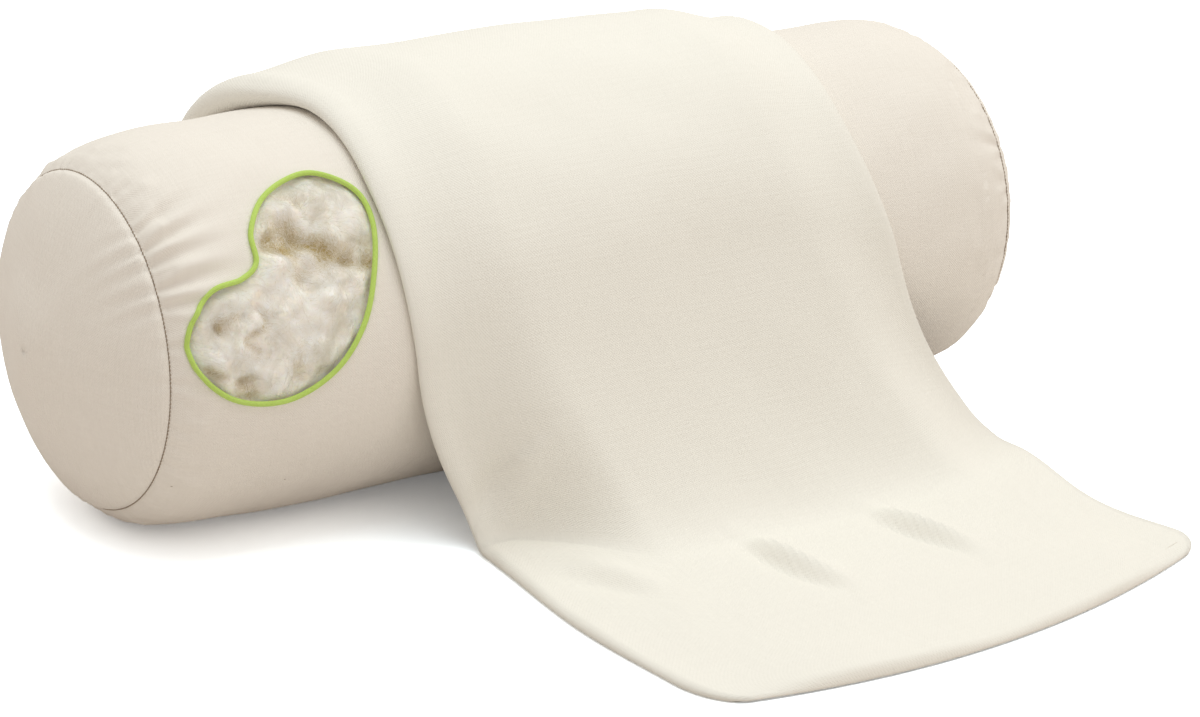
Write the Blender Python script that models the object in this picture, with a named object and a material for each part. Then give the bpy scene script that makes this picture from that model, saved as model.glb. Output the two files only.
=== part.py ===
"""Bolster pillow with its removable case laid over it.

A round kapok bolster lies along X on the floor, z = 0. Its casing is a barrel panel with a domed
panel sewn into each end, a bound window onto the filling, and a filling zip along its back. The
empty case lies flat, two layers thick, over the bolster and out along the floor towards -Y.
The origin is the middle of the flattened strip that the bolster rests on.
"""

import math

import bmesh
import bpy
from mathutils import Matrix, Vector

# Bolster
BARREL_RADIUS = 0.100
SEAM_TO_SEAM = 0.521
SEAM_DRAW_IN = 0.0139
DOME_RISE = 0.0335
RESTING_SINK = 0.0015
CASING_WALL = 0.0012
SEAM_ALLOWANCE = 0.008
SEAM_DIP = 0.0014
SEAM_DIP_WIDTH = 0.0035
THREAD_RADIUS = 0.0005
FILLING_SETBACK = 0.002

# Window in the casing: length along the barrel, height round it, and the lower left corner of both
WINDOW_LENGTH = 0.110
WINDOW_HEIGHT = 0.111
WINDOW_FROM_SEAM = 0.0068
WINDOW_BELOW_MIDDLE = 0.0044
BINDING_RADIUS = 0.00135
BINDING_PROUD = 0.0004

# Case: how far it hangs behind, where it runs on the floor, and its two layers. The front end
# bows back from its foremost point, which lies left of the middle.
CASE_WALL = 0.0010
CASE_BACK_ANGLE = 58.0
CASE_REACH = 0.329
CASE_FRONT_BOW = 0.95
CASE_FRONT_OFF_MIDDLE = 0.049
CASE_CORNER = 0.020
CASE_FOLD_CLEAR = 0.0020
CASE_TUCK = 0.070
CASE_TUCK_EDGE = 0.012
CASE_TUCK_THICKNESS = 0.0016
BEND_LEFT = 0.022
BEND_RIGHT = 0.072
BEND_GROWS_OVER = 0.3

# Zips
CASE_ZIP_LENGTH = 0.240
FILLING_ZIP_LENGTH = 0.300
FILLING_ZIP_ANGLE = 78.75
FILLING_ZIP_SLOT = 0.0100
FILLING_TAPE_HALF = 0.0080
FILLING_TAPE_SINK = 0.0007
FILLING_CHANNEL_DEPTH = 0.0022
FILLING_CHANNEL_ANGLE = 9.0
FILLING_CHANNEL_OVERRUN = 0.020
CASE_TAPE_HALF = 0.0040
CASE_TAPE_SINK = 0.0018
TAPE_THICKNESS = 0.0006
TAPE_OVERRUN = 0.006
COIL_RADIUS = 0.00075
SLIDER_LENGTH = 0.009
SLIDER_WALL = 0.0010
PULL_LENGTH = 0.026
PULL_WIDTH = 0.0050
PULL_THICKNESS = 0.0012
BRIDGE_WIDTH = 0.0016
BRIDGE_OPENING = 0.0040
BRIDGE_WALL = 0.0010
BRIDGE_CLEAR = 0.0024
STOP_LENGTH = 0.002

# Gaps between pieces that touch on the real object
GAP = 0.0004
CASE_CLEARANCE = 0.0008

# Curves of the shapes, and how finely each is stepped
SHOULDER_POWER = 16.5
SHOULDER_STEPS = 7
SHOULDER_CROWDING = 2.6
DOME_POWER = 1.35
DOME_STEPS = 8
DOME_CROWDING = 0.8
DOME_DIP_CROWDING = 1.4
DOME_WALL_SLOPE = 0.8
FACET_LENGTH = 0.0131
KIDNEY_STEPS = 4
CASE_EDGE_POWER = 7
CASE_COLUMNS = 9
CASE_FIRST_COLUMN = 0.06
TUCK_COLUMNS = 14
TUCK_ROWS = 4
THREAD_SIDES = 6
COIL_SIDES = 8

SEAM_RADIUS = BARREL_RADIUS - SEAM_DRAW_IN
HALF_SEAM = SEAM_TO_SEAM / 2
AXIS_HEIGHT = BARREL_RADIUS - RESTING_SINK
ROUND_STEPS = 4 * round(2 * math.pi * BARREL_RADIUS / FACET_LENGTH / 4)
WINDOW_RIGHT = -HALF_SEAM + WINDOW_FROM_SEAM + WINDOW_LENGTH
CASE_FOLD_HEIGHT = 2 * CASE_WALL + CASE_FOLD_CLEAR
CUTTER_OVERRUN = 4 * CASING_WALL

# Kidney outline in shares of the window's length and height, counter-clockwise from the top
KIDNEY = (
    (0.82, 1.00), (0.66, 0.985), (0.505, 0.905), (0.395, 0.76), (0.375, 0.625), (0.285, 0.565),
    (0.125, 0.53), (0.005, 0.36), (0.035, 0.18), (0.195, 0.035), (0.44, 0.0), (0.67, 0.095),
    (0.83, 0.265), (0.93, 0.48), (1.00, 0.715), (0.975, 0.885),
)

# Case stations: 0 back end, 1 top of the bolster, 2 its front, 3 landed on the floor, 4 front end.
# Each row holds the station, how far the left edge is right of the window, the width from edge to
# edge, and the clear height between the two layers.
CASE_STATIONS = (
    (0.0, -0.0223, 0.334, 0.0130),
    (0.5, -0.0173, 0.321, 0.0135),
    (1.0, 0.0047, 0.291, 0.0120),
    (1.5, 0.0047, 0.289, 0.0100),
    (2.0, 0.0127, 0.303, 0.0080),
    (2.5, 0.0287, 0.315, 0.0070),
    (3.0, 0.0397, 0.332, 0.0055),
    (3.5, 0.0347, 0.329, 0.0035),
    (4.0, 0.0437, 0.338, 0.0025),
)


def clear_scene():
    for obj in list(bpy.data.objects):
        bpy.data.objects.remove(obj, do_unlink=True)


def material(name, colour, roughness, metallic=0.0):
    made = bpy.data.materials.new(name)
    made.use_nodes = True
    shader = made.node_tree.nodes["Principled BSDF"]
    shader.inputs["Base Color"].default_value = (*colour, 1.0)
    shader.inputs["Roughness"].default_value = roughness
    shader.inputs["Metallic"].default_value = metallic
    return made


def object_from(bm, name, surface, place=Matrix.Identity(4)):
    """A new object of this bmesh, faces turned out, with its material."""
    bmesh.ops.recalc_face_normals(bm, faces=bm.faces)
    mesh = bpy.data.meshes.new(name)
    bm.to_mesh(mesh)
    bm.free()
    mesh.shade_smooth()
    mesh.set_sharp_from_angle(angle=math.radians(40))
    mesh.materials.append(surface)
    obj = bpy.data.objects.new(name, mesh)
    obj.matrix_world = place
    bpy.context.scene.collection.objects.link(obj)
    return obj


def parented(obj, parent):
    obj.parent = parent
    obj.matrix_parent_inverse = parent.matrix_world.inverted()


def cut(obj, cutter):
    """Takes the cutter's shape out of the object, and hides the cutter."""
    boolean = obj.modifiers.new("cut", "BOOLEAN")
    boolean.operation = "DIFFERENCE"
    boolean.solver = "EXACT"
    boolean.object = cutter
    cutter.hide_render = True
    cutter.display_type = "WIRE"


def joined(obj, other):
    """Makes the other shape one body with the object."""
    boolean = obj.modifiers.new("join", "BOOLEAN")
    boolean.operation = "UNION"
    boolean.solver = "EXACT"
    boolean.object = other
    other.hide_render = True
    other.display_type = "WIRE"


# ---------------------------------------------------------------- bolster profile


def seam_dip(distance):
    return SEAM_DIP * math.exp(-((distance / SEAM_DIP_WIDTH) ** 2))


def barrel_radius(x):
    """Outer radius of the casing's barrel at x, drawn in towards each seam."""
    share = min(abs(x) / HALF_SEAM, 1.0)
    drawn_in = (BARREL_RADIUS - SEAM_RADIUS) * share**SHOULDER_POWER
    return BARREL_RADIUS - drawn_in - seam_dip(HALF_SEAM - abs(x))


def barrel_outline(end):
    """Outer profile of the barrel as (x, radius) from -end to +end, closer together at the shoulders."""
    half = []
    for step in range(SHOULDER_STEPS + 1):
        half.append(end * (1 - (1 - step / SHOULDER_STEPS) ** SHOULDER_CROWDING))
    stations = [-x for x in reversed(half[1:])] + half
    return [Vector((x, barrel_radius(x))) for x in stations]


def dome_outline(start):
    """Outer profile of an end panel as (x past the middle, radius), from its seam to its tip."""
    points = []
    for step in range(DOME_STEPS):
        radius = SEAM_RADIUS * math.cos(math.pi / 2 * step / DOME_STEPS) ** DOME_CROWDING
        share = 1 - (radius / SEAM_RADIUS) ** DOME_POWER
        rise = DOME_RISE * share ** (1 / DOME_POWER)
        dip = seam_dip((SEAM_RADIUS - radius) * DOME_DIP_CROWDING)
        points.append(Vector((start + rise, radius - dip)))
    points.append(Vector((start + DOME_RISE, 0.0)))
    return points


def inset(points, distance):
    """The profile moved this far towards the bolster's inside; it runs along +x with the inside below."""
    moved = []
    for index, point in enumerate(points):
        before = points[max(index - 1, 0)]
        after = points[min(index + 1, len(points) - 1)]
        along = (after - before).normalized()
        moved.append(point + distance * Vector((along.y, -along.x)))
    return moved


def turned(name, profile, surface):
    """Turns a profile of (x, radius) round the bolster's axis, and settles it on the floor."""
    bm = bmesh.new()
    verts = [bm.verts.new((point[0], 0, point[1])) for point in profile]
    on_axis = profile[0][1] == 0 and profile[-1][1] == 0
    last = len(verts) if not on_axis else len(verts) - 1
    edges = [bm.edges.new((verts[i], verts[(i + 1) % len(verts)])) for i in range(last)]
    bmesh.ops.spin(
        bm, geom=verts + edges, axis=(1, 0, 0), cent=(0, 0, 0), dvec=(0, 0, 0),
        angle=2 * math.pi, steps=ROUND_STEPS,
    )
    bmesh.ops.remove_doubles(bm, verts=bm.verts, dist=1e-6)
    for vert in bm.verts:
        depth = barrel_radius(vert.co.x) - math.hypot(vert.co.y, vert.co.z)
        vert.co.z = max(vert.co.z + AXIS_HEIGHT, depth)
    return object_from(bm, name, surface)


def on_barrel(x, round_way, proud=0.0):
    """A point on the barrel's front: round_way is the arc length above the middle height."""
    angle = round_way / BARREL_RADIUS
    radius = barrel_radius(x) + proud
    return Vector((x, -radius * math.cos(angle), AXIS_HEIGHT + radius * math.sin(angle)))


# ---------------------------------------------------------------- casing


def make_barrel(surface):
    """Barrel panel: an open tube whose edges turn in at both seams."""
    edge = HALF_SEAM - GAP / 2
    outer = barrel_outline(edge)
    inner = [p for p in inset(outer, CASING_WALL) if abs(p.x) < edge - CASING_WALL]
    flange = SEAM_RADIUS - SEAM_ALLOWANCE
    inner_edge = barrel_radius(edge - CASING_WALL) - CASING_WALL
    right = [
        Vector((edge, flange)),
        Vector((edge - CASING_WALL, flange)),
        Vector((edge - CASING_WALL, inner_edge)),
    ]
    left = [Vector((-point.x, point.y)) for point in reversed(right)]
    return turned("casing_barrel", outer + right + inner[::-1] + left, surface)


def make_end_panel(side, surface):
    """Round end panel: a dome sewn to the barrel, with its allowance turned in beside the barrel's."""
    start = HALF_SEAM + GAP / 2
    outer = dome_outline(start)
    inner = [p for p in inset(outer, CASING_WALL) if p.x > start + CASING_WALL]
    inner[-1] = Vector((outer[-1].x - CASING_WALL, 0.0))
    flange = SEAM_RADIUS - SEAM_ALLOWANCE
    inner_edge = inner[0].y + (inner[0].x - start - CASING_WALL) * DOME_WALL_SLOPE
    profile = [inner[-1 - i] for i in range(len(inner))]
    profile += [
        Vector((start + CASING_WALL, inner_edge)),
        Vector((start + CASING_WALL, flange)),
        Vector((start, flange)),
    ]
    profile += outer
    profile = [Vector((side * point.x, point.y)) for point in profile]
    name = "casing_end_left" if side < 0 else "casing_end_right"
    return turned(name, profile, surface)


def make_seam_thread(side, surface):
    """The stitched seam's thread, lying in the dip between the barrel and an end panel."""
    ring_radius = SEAM_RADIUS - SEAM_DIP + THREAD_RADIUS + GAP
    shift = HALF_SEAM + GAP / 2 + THREAD_RADIUS / 2
    bm = bmesh.new()
    bmesh.ops.create_circle(bm, segments=THREAD_SIDES, radius=THREAD_RADIUS)
    turn = Matrix.Rotation(math.pi / 2, 4, "X")
    bmesh.ops.transform(bm, matrix=Matrix.Translation((0, 0, ring_radius)) @ turn, verts=bm.verts)
    bmesh.ops.spin(
        bm, geom=bm.verts[:] + bm.edges[:], axis=(1, 0, 0), cent=(0, 0, 0), dvec=(0, 0, 0),
        angle=2 * math.pi, steps=ROUND_STEPS,
    )
    bmesh.ops.remove_doubles(bm, verts=bm.verts, dist=1e-6)
    name = "seam_thread_left" if side < 0 else "seam_thread_right"
    return object_from(bm, name, surface, Matrix.Translation((side * shift, 0, AXIS_HEIGHT)))


def make_filling(surface):
    """Kapok filling: fills the casing, grooved round both seam allowances and behind the zip."""
    depth = CASING_WALL + GAP
    edge = HALF_SEAM - GAP / 2 - CASING_WALL - GAP
    throat = SEAM_RADIUS - SEAM_ALLOWANCE - GAP
    barrel = [p for p in inset(barrel_outline(HALF_SEAM), depth) if abs(p.x) < edge - FILLING_SETBACK]
    dome_start = HALF_SEAM + GAP / 2 + CASING_WALL + GAP
    dome = [p for p in inset(dome_outline(HALF_SEAM), depth) if p.x > dome_start + FILLING_SETBACK]
    dome[-1].y = 0.0
    groove = [Vector((edge, barrel_radius(edge) - 2 * depth)), Vector((edge, throat))]
    groove += [Vector((dome_start, throat)), Vector((dome_start, dome[0].y))]
    right = groove + dome
    left = [Vector((-point.x, point.y)) for point in reversed(right)]
    filling = turned("kapok_filling", left + barrel + right, surface)
    channel = math.radians(FILLING_CHANNEL_ANGLE)
    channel_end = FILLING_ZIP_LENGTH / 2 + FILLING_CHANNEL_OVERRUN
    pressed = 1 - FILLING_CHANNEL_DEPTH / BARREL_RADIUS
    middle = math.radians(FILLING_ZIP_ANGLE)
    for vert in filling.data.vertices:
        up = vert.co.z - AXIS_HEIGHT
        around = math.atan2(vert.co.y, up) - middle
        if abs(around) < channel and abs(vert.co.x) < channel_end:
            vert.co = (vert.co.x, vert.co.y * pressed, AXIS_HEIGHT + up * pressed)
    return filling


# ---------------------------------------------------------------- window


def smooth_loop(points, steps):
    """A closed Catmull-Rom curve through the points."""
    count = len(points)
    curve = []
    for index in range(count):
        a, b, c, d = (Vector(points[(index + k - 1) % count]) for k in range(4))
        for step in range(steps):
            t = step / steps
            curve.append(
                0.5 * (2 * b + (c - a) * t + (2 * a - 5 * b + 4 * c - d) * t**2
                       + (3 * b - a - 3 * c + d) * t**3)
            )
    return curve


def window_outline(grown=0.0):
    """The window's edge as (x, way round the barrel), grown outwards by this much."""
    left = -HALF_SEAM + WINDOW_FROM_SEAM
    sized = [(left + u * WINDOW_LENGTH, v * WINDOW_HEIGHT - WINDOW_BELOW_MIDDLE) for u, v in KIDNEY]
    curve = smooth_loop(sized, KIDNEY_STEPS)
    grown_curve = []
    for index, point in enumerate(curve):
        along = (curve[(index + 1) % len(curve)] - curve[index - 1]).normalized()
        grown_curve.append(point + grown * Vector((along.y, -along.x)))
    return grown_curve


def cut_window(barrel, surface):
    """Cuts the kidney window through the barrel panel's front.

    The cutter ends well outside the barrel, because its flat outer end has to clear the curve.
    """
    outline = window_outline(BINDING_RADIUS + GAP)
    bm = bmesh.new()
    rings = []
    for proud in (-CUTTER_OVERRUN, 0.3 * BARREL_RADIUS):
        rings.append([bm.verts.new(on_barrel(point.x, point.y, proud)) for point in outline])
    count = len(outline)
    for i in range(count):
        k = (i + 1) % count
        bm.faces.new((rings[0][i], rings[0][k], rings[1][k], rings[1][i]))
    for ring in rings:
        bmesh.ops.triangulate(bm, faces=[bm.faces.new(ring)])
    cut(barrel, object_from(bm, "window_cutter", surface))


def make_binding(surface):
    """Bias binding round the window's edge."""
    curve = bpy.data.curves.new("window_binding", "CURVE")
    curve.dimensions = "3D"
    curve.bevel_depth = BINDING_RADIUS
    curve.bevel_resolution = 1
    outline = window_outline()
    spline = curve.splines.new("POLY")
    spline.points.add(len(outline) - 1)
    for spot, point in zip(spline.points, outline):
        spot.co = (*on_barrel(point.x, point.y, BINDING_PROUD), 1.0)
    spline.use_cyclic_u = True
    curve.materials.append(surface)
    binding = bpy.data.objects.new("window_binding", curve)
    bpy.context.scene.collection.objects.link(binding)
    return binding


# ---------------------------------------------------------------- case


def along_stations(station, column):
    """One column of the case's stations at any station, eased between their rows."""
    rows = CASE_STATIONS
    index = min(int(station * 2), len(rows) - 2)
    before, b, c, after = (rows[min(max(index + k - 1, 0), len(rows) - 1)][column] for k in range(4))
    t = station * 2 - index
    return 0.5 * (2 * b + (c - before) * t + (2 * before - 5 * b + 4 * c - after) * t**2
                  + (3 * b - before - 3 * c + after) * t**3)


def side_edges(station):
    """Left and right edge of the case, before its front corners are rounded."""
    left = WINDOW_RIGHT + along_stations(station, 1)
    return left, left + along_stations(station, 2)


def front_end(x):
    left, right = side_edges(4.0)
    foremost = (left + right) / 2 - CASE_FRONT_OFF_MIDDLE
    return -CASE_REACH + CASE_FRONT_BOW * (x - foremost) ** 2


def case_point(station, x, share, height):
    """A point of the case: height is measured square to the lower layer, share runs 0 left to 1 right."""
    radius = BARREL_RADIUS + CASE_CLEARANCE
    bend = BEND_LEFT + (BEND_RIGHT - BEND_LEFT) * min(share / BEND_GROWS_OVER, 1.0)
    floor = CASE_CLEARANCE
    if station <= 2:
        back = math.radians(CASE_BACK_ANGLE)
        angle = back * (1 - station) if station < 1 else -math.pi / 2 * (station - 1)
        reach = radius + height
        return Vector((x, reach * math.sin(angle), AXIS_HEIGHT + reach * math.cos(angle)))
    if station <= 2.5:
        top = AXIS_HEIGHT
        low = floor + bend
        return Vector((x, -radius - height, top + (low - top) * (station - 2) * 2))
    if station <= 3:
        angle = math.pi / 2 * (station - 2.5) * 2
        tight = bend - height
        return Vector((x, -radius - bend + tight * math.cos(angle), floor + bend - tight * math.sin(angle)))
    landed = -radius - bend
    return Vector((x, landed + (front_end(x) - landed) * (station - 3), floor + height))


def corner_inset(station):
    """How far the front corners' rounding has drawn the edges in at this station."""
    floor_run = CASE_REACH - BARREL_RADIUS - BEND_RIGHT
    left_over = (4 - station) * floor_run
    if left_over >= CASE_CORNER:
        return 0.0
    return CASE_CORNER * (1 - math.sqrt(max(1 - (1 - left_over / CASE_CORNER) ** 2, 0.0)))


def case_edges(station):
    """Left and right edge of the case at a station, its front corners rounded."""
    left, right = side_edges(station)
    drawn = corner_inset(station)
    return left + drawn, right - drawn


def full_height(station):
    return 2 * CASE_WALL + along_stations(station, 3)


def case_height(station, share):
    """Height of the upper layer: full in the middle, down to the fold at both edges."""
    full = full_height(station)
    return CASE_FOLD_HEIGHT + (full - CASE_FOLD_HEIGHT) * (1 - abs(2 * share - 1) ** CASE_EDGE_POWER)


def sleeve_loop(station, inside):
    """One ring round the two layers, at the outer skin or this far inside it."""
    left, right = case_edges(station)
    left += inside
    right -= inside
    shares = []
    for step in range(CASE_COLUMNS + 1):
        turn = CASE_FIRST_COLUMN + (1 - 2 * CASE_FIRST_COLUMN) * step / CASE_COLUMNS
        shares.append(0.5 - 0.5 * math.cos(math.pi * turn))
    loop = []
    for share in shares:
        loop.append(case_point(station, left + (right - left) * share, share, inside))
    loop.append(case_point(station, right, 1, CASE_FOLD_HEIGHT / 2))
    for share in reversed(shares):
        upper = case_height(station, share) - inside
        loop.append(case_point(station, left + (right - left) * share, share, upper))
    loop.append(case_point(station, left, 0, CASE_FOLD_HEIGHT / 2))
    return loop


def case_stations():
    """Stations of the sleeve's rings, closest round the bend and the front corners."""
    stations = [step / 5 for step in range(5)] + [1 + step / 10 for step in range(11)]
    stations += [2.2, 2.35] + [2.5 + step / 10 for step in range(6)]
    floor_run = CASE_REACH - BARREL_RADIUS - BEND_RIGHT
    corner = 4 - CASE_CORNER / floor_run
    stations += [3.35, 3.7, corner]
    stations += [4 - (4 - corner) * (1 - math.sin(math.pi / 2 * k / 3)) for k in range(1, 4)]
    return stations


def make_sleeve(surface):
    """The case's barrel panel: a tube of cloth, flattened, open at both ends."""
    bm = bmesh.new()
    skins = []
    for inside in (0.0, CASE_WALL):
        rings = []
        for station in case_stations():
            rings.append([bm.verts.new(point) for point in sleeve_loop(station, inside)])
        skins.append(rings)
        for ring, following in zip(rings, rings[1:]):
            for i in range(len(ring)):
                k = (i + 1) % len(ring)
                bm.faces.new((ring[i], ring[k], following[k], following[i]))
    for end in (0, -1):
        outer, inner = skins[0][end], skins[1][end]
        for i in range(len(outer)):
            k = (i + 1) % len(outer)
            bm.faces.new((outer[i], outer[k], inner[k], inner[i]))
    return object_from(bm, "case_sleeve", surface)


def tucked_panel(name, end_station, inwards, lift, surface):
    """A round end panel, folded double and tucked into an end of the sleeve, lift above its lower layer."""
    low = CASE_WALL + lift
    high = low + CASE_TUCK_THICKNESS
    floor_run = CASE_REACH - BARREL_RADIUS - BEND_RIGHT
    back_run = BARREL_RADIUS * math.radians(CASE_BACK_ANGLE)
    run = floor_run if inwards < 0 else back_run
    start = end_station + inwards * CASE_TUCK_EDGE / run
    left, right = case_edges(end_station + inwards * CASE_CORNER / run)
    margin = 3 * CASE_FOLD_HEIGHT
    columns, rows = TUCK_COLUMNS, TUCK_ROWS
    bm = bmesh.new()
    skins = []
    for height in (low, high):
        grid = []
        for row in range(rows + 1):
            line = []
            for column in range(columns + 1):
                across = 2 * column / columns - 1
                depth = CASE_TUCK_EDGE + (CASE_TUCK - CASE_TUCK_EDGE) * (1 - across**2)
                share = 0.5 + 0.5 * across
                x = left + margin + (right - left - 2 * margin) * share
                station = start + inwards * (row / rows) * depth / run
                line.append(bm.verts.new(case_point(station, x, share, height)))
            grid.append(line)
        skins.append(grid)
    for grid in skins:
        for row in range(rows):
            for column in range(columns):
                bm.faces.new((grid[row][column], grid[row][column + 1],
                              grid[row + 1][column + 1], grid[row + 1][column]))
    lower, upper = (rim(grid) for grid in skins)
    for i in range(len(lower)):
        k = (i + 1) % len(lower)
        bm.faces.new((lower[i], lower[k], upper[k], upper[i]))
    return object_from(bm, name, surface)


def rim(grid):
    """The verts round a grid's edge, in order."""
    ring = list(grid[0])
    ring += [line[-1] for line in grid[1:]]
    ring += list(reversed(grid[-1]))[1:]
    ring += [line[0] for line in reversed(grid[1:-1])]
    return ring


# ---------------------------------------------------------------- zips


def block(name, low, high, surface, place):
    """A box between two corners, in the zip's own directions: along, across and out."""
    bm = bmesh.new()
    size = Vector(high) - Vector(low)
    middle = (Vector(high) + Vector(low)) / 2
    bmesh.ops.create_cube(bm, size=1.0, matrix=Matrix.Translation(middle) @ Matrix.Diagonal((*size, 1)))
    return object_from(bm, name, surface, place)


def extruded(name, outline, direction, length, surface, place):
    """A flat outline extruded to a solid."""
    bm = bmesh.new()
    face = bm.faces.new([bm.verts.new(point) for point in outline])
    grown = bmesh.ops.extrude_face_region(bm, geom=[face])
    moved = [item for item in grown["geom"] if isinstance(item, bmesh.types.BMVert)]
    bmesh.ops.translate(bm, verts=moved, vec=Vector(direction) * length)
    return object_from(bm, name, surface, place)


def make_coil(name, side, length, centre_out, surface, place):
    """One nylon coil, a plain rod along its tape's edge."""
    bm = bmesh.new()
    bmesh.ops.create_cone(
        bm, cap_ends=True, segments=COIL_SIDES, radius1=COIL_RADIUS, radius2=COIL_RADIUS, depth=length,
    )
    lie = Matrix.Rotation(math.pi / 2, 4, "Y")
    centre = (0, side * (COIL_RADIUS + GAP / 2), centre_out)
    bmesh.ops.transform(bm, matrix=Matrix.Translation(centre) @ lie, verts=bm.verts)
    return object_from(bm, name, surface, place)


def make_slider(name, at, tape_out, surface, place):
    """Zip slider: a channel over both coils with a bridge on top for the pull."""
    inner = 2 * COIL_RADIUS + GAP / 2 + GAP
    outer = inner + SLIDER_WALL
    under = tape_out + 2 * GAP
    roof = tape_out + 2 * GAP + 2 * COIL_RADIUS + GAP / 2
    top = roof + SLIDER_WALL
    first = at - SLIDER_LENGTH / 2
    channel = [(-outer, under), (-inner, under), (-inner, roof), (inner, roof), (inner, under),
               (outer, under), (outer, top), (-outer, top)]
    body = extruded(name, [(first, a, o) for a, o in channel], (1, 0, 0), SLIDER_LENGTH, surface, place)
    arch = bridge_outline()
    sunk = SLIDER_WALL / 2
    outline = [(at + l, -BRIDGE_WIDTH / 2, top + o if o > 0 else top - sunk) for l, o in arch]
    bridge = extruded(name + "_bridge", outline, (0, 1, 0), BRIDGE_WIDTH, surface, place)
    joined(body, bridge)
    return body, top


def bridge_outline():
    """Side view of the slider's bridge: two legs and the strap over them."""
    inside = BRIDGE_OPENING / 2
    outside = inside + BRIDGE_WALL
    return [(-outside, 0), (-outside, BRIDGE_CLEAR + BRIDGE_WALL), (outside, BRIDGE_CLEAR + BRIDGE_WALL),
            (outside, 0), (inside, 0), (inside, BRIDGE_CLEAR), (-inside, BRIDGE_CLEAR), (-inside, 0)]


def make_pull(name, at, slider_top, lean, surface, place):
    """Pull tab whose cross bar sits under the slider's bridge; lean turns it about that bar."""
    bar = PULL_THICKNESS / 2
    pivot = Matrix.Translation((at, 0, slider_top + BRIDGE_CLEAR / 2))
    hung = place @ pivot @ Matrix.Rotation(math.radians(lean), 4, "Y")
    half = PULL_WIDTH / 2
    outline = [(-bar, -half, -bar), (PULL_LENGTH - half, -half, -bar), (PULL_LENGTH, -half / 2, -bar),
               (PULL_LENGTH, half / 2, -bar), (PULL_LENGTH - half, half, -bar), (-bar, half, -bar)]
    tab = extruded(name, outline, (0, 0, 1), PULL_THICKNESS, surface, hung)
    eye_end = BRIDGE_OPENING / 2 + BRIDGE_WALL + bar + GAP
    eye_half = BRIDGE_WIDTH / 2 + GAP
    eye = block(name + "_eye", (bar, -eye_half, -3 * bar), (eye_end, eye_half, 3 * bar), surface, hung)
    cut(tab, eye)
    return tab


def make_zip(prefix, length, tape_half, tape_out, slide_from, lean, place, parent, slider_parent, looks):
    """Both tapes and coils, a stop at each end, and the slider with its pull."""
    tape, coil, metal = looks
    coil_out = tape_out + GAP + COIL_RADIUS
    half = length / 2
    for side, word in ((-1, "upper"), (1, "lower")):
        edges = sorted((side * GAP / 2, side * tape_half))
        strip = block(
            f"{prefix}_tape_{word}", (-half - TAPE_OVERRUN, edges[0], tape_out - TAPE_THICKNESS),
            (half + TAPE_OVERRUN, edges[1], tape_out), tape, place,
        )
        parented(strip, parent)
        parented(make_coil(f"{prefix}_coil_{word}", side, length, coil_out, coil, place), parent)
    for side, word in ((-1, "left"), (1, "right")):
        ends = sorted((side * (half + GAP), side * (half + GAP + STOP_LENGTH)))
        across = 2 * COIL_RADIUS
        stop = block(
            f"{prefix}_stop_{word}", (ends[0], -across, tape_out + GAP),
            (ends[1], across, tape_out + GAP + 2 * COIL_RADIUS), metal, place,
        )
        parented(stop, parent)
    at = slide_from * (half - SLIDER_LENGTH / 2)
    slider, top = make_slider(f"{prefix}_slider", at, tape_out, metal, place)
    pull = make_pull(f"{prefix}_pull", at, top, lean, metal, place)
    parented(slider, slider_parent)
    parented(pull, slider_parent)


def zip_place(middle, out):
    """The zip's directions in the world: along X, out as given, and across square to both."""
    along = Vector((1, 0, 0))
    out = Vector(out).normalized()
    across = out.cross(along)
    turn = Matrix((along, across, out)).transposed().to_4x4()
    return Matrix.Translation(middle) @ turn


def cut_zip_slot(barrel, place, surface):
    half = FILLING_ZIP_LENGTH / 2 + STOP_LENGTH + 2 * GAP
    slot = block("slot_cutter", (-half, -FILLING_ZIP_SLOT / 2, -CUTTER_OVERRUN),
                 (half, FILLING_ZIP_SLOT / 2, CUTTER_OVERRUN), surface, place)
    cut(barrel, slot)


# ---------------------------------------------------------------- assembly

clear_scene()

cotton = material("natural_cotton", (0.80, 0.74, 0.66), 0.9)
end_cotton = material("end_cotton", (0.72, 0.66, 0.58), 0.9)
case_cotton = material("case_cotton", (0.84, 0.80, 0.71), 0.9)
kapok = material("kapok", (0.86, 0.83, 0.72), 0.8)
binding_cloth = material("lime_binding", (0.46, 0.68, 0.14), 0.7)
sewing_thread = material("sewing_thread", (0.55, 0.46, 0.36), 0.8)
zip_tape = material("zip_tape", (0.80, 0.76, 0.68), 0.8)
zip_coil = material("zip_coil", (0.78, 0.74, 0.66), 0.4)
zip_metal = material("zip_metal", (0.62, 0.58, 0.50), 0.35, 1.0)

case_lift = bpy.data.objects.new("case_lift", None)
bpy.context.scene.collection.objects.link(case_lift)

casing = make_barrel(cotton)
make_end_panel(-1, end_cotton)
make_end_panel(1, end_cotton)
make_seam_thread(-1, sewing_thread)
make_seam_thread(1, sewing_thread)
make_filling(kapok)
cut_window(casing, cotton)
make_binding(binding_cloth)

back = math.radians(FILLING_ZIP_ANGLE)
back_out = Vector((0, math.sin(back), math.cos(back)))
filling_zip = zip_place(back_out * BARREL_RADIUS + Vector((0, 0, AXIS_HEIGHT)), back_out)
cut_zip_slot(casing, filling_zip, cotton)
filling_tape_out = -CASING_WALL - FILLING_TAPE_SINK
filling_runner = bpy.data.objects.new("filling_zip_runner", None)
bpy.context.scene.collection.objects.link(filling_runner)
make_zip("filling_zip", FILLING_ZIP_LENGTH, FILLING_TAPE_HALF, filling_tape_out, -1, 0,
         filling_zip, casing, filling_runner, (zip_tape, zip_coil, zip_metal))

sleeve = make_sleeve(case_cotton)
front_panel = tucked_panel("case_end_front", 4.0, -1, GAP, case_cotton)
back_panel = tucked_panel("case_end_back", 0.0, 1, 3 * GAP, case_cotton)
for piece in (sleeve, front_panel, back_panel):
    parented(piece, case_lift)

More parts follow.
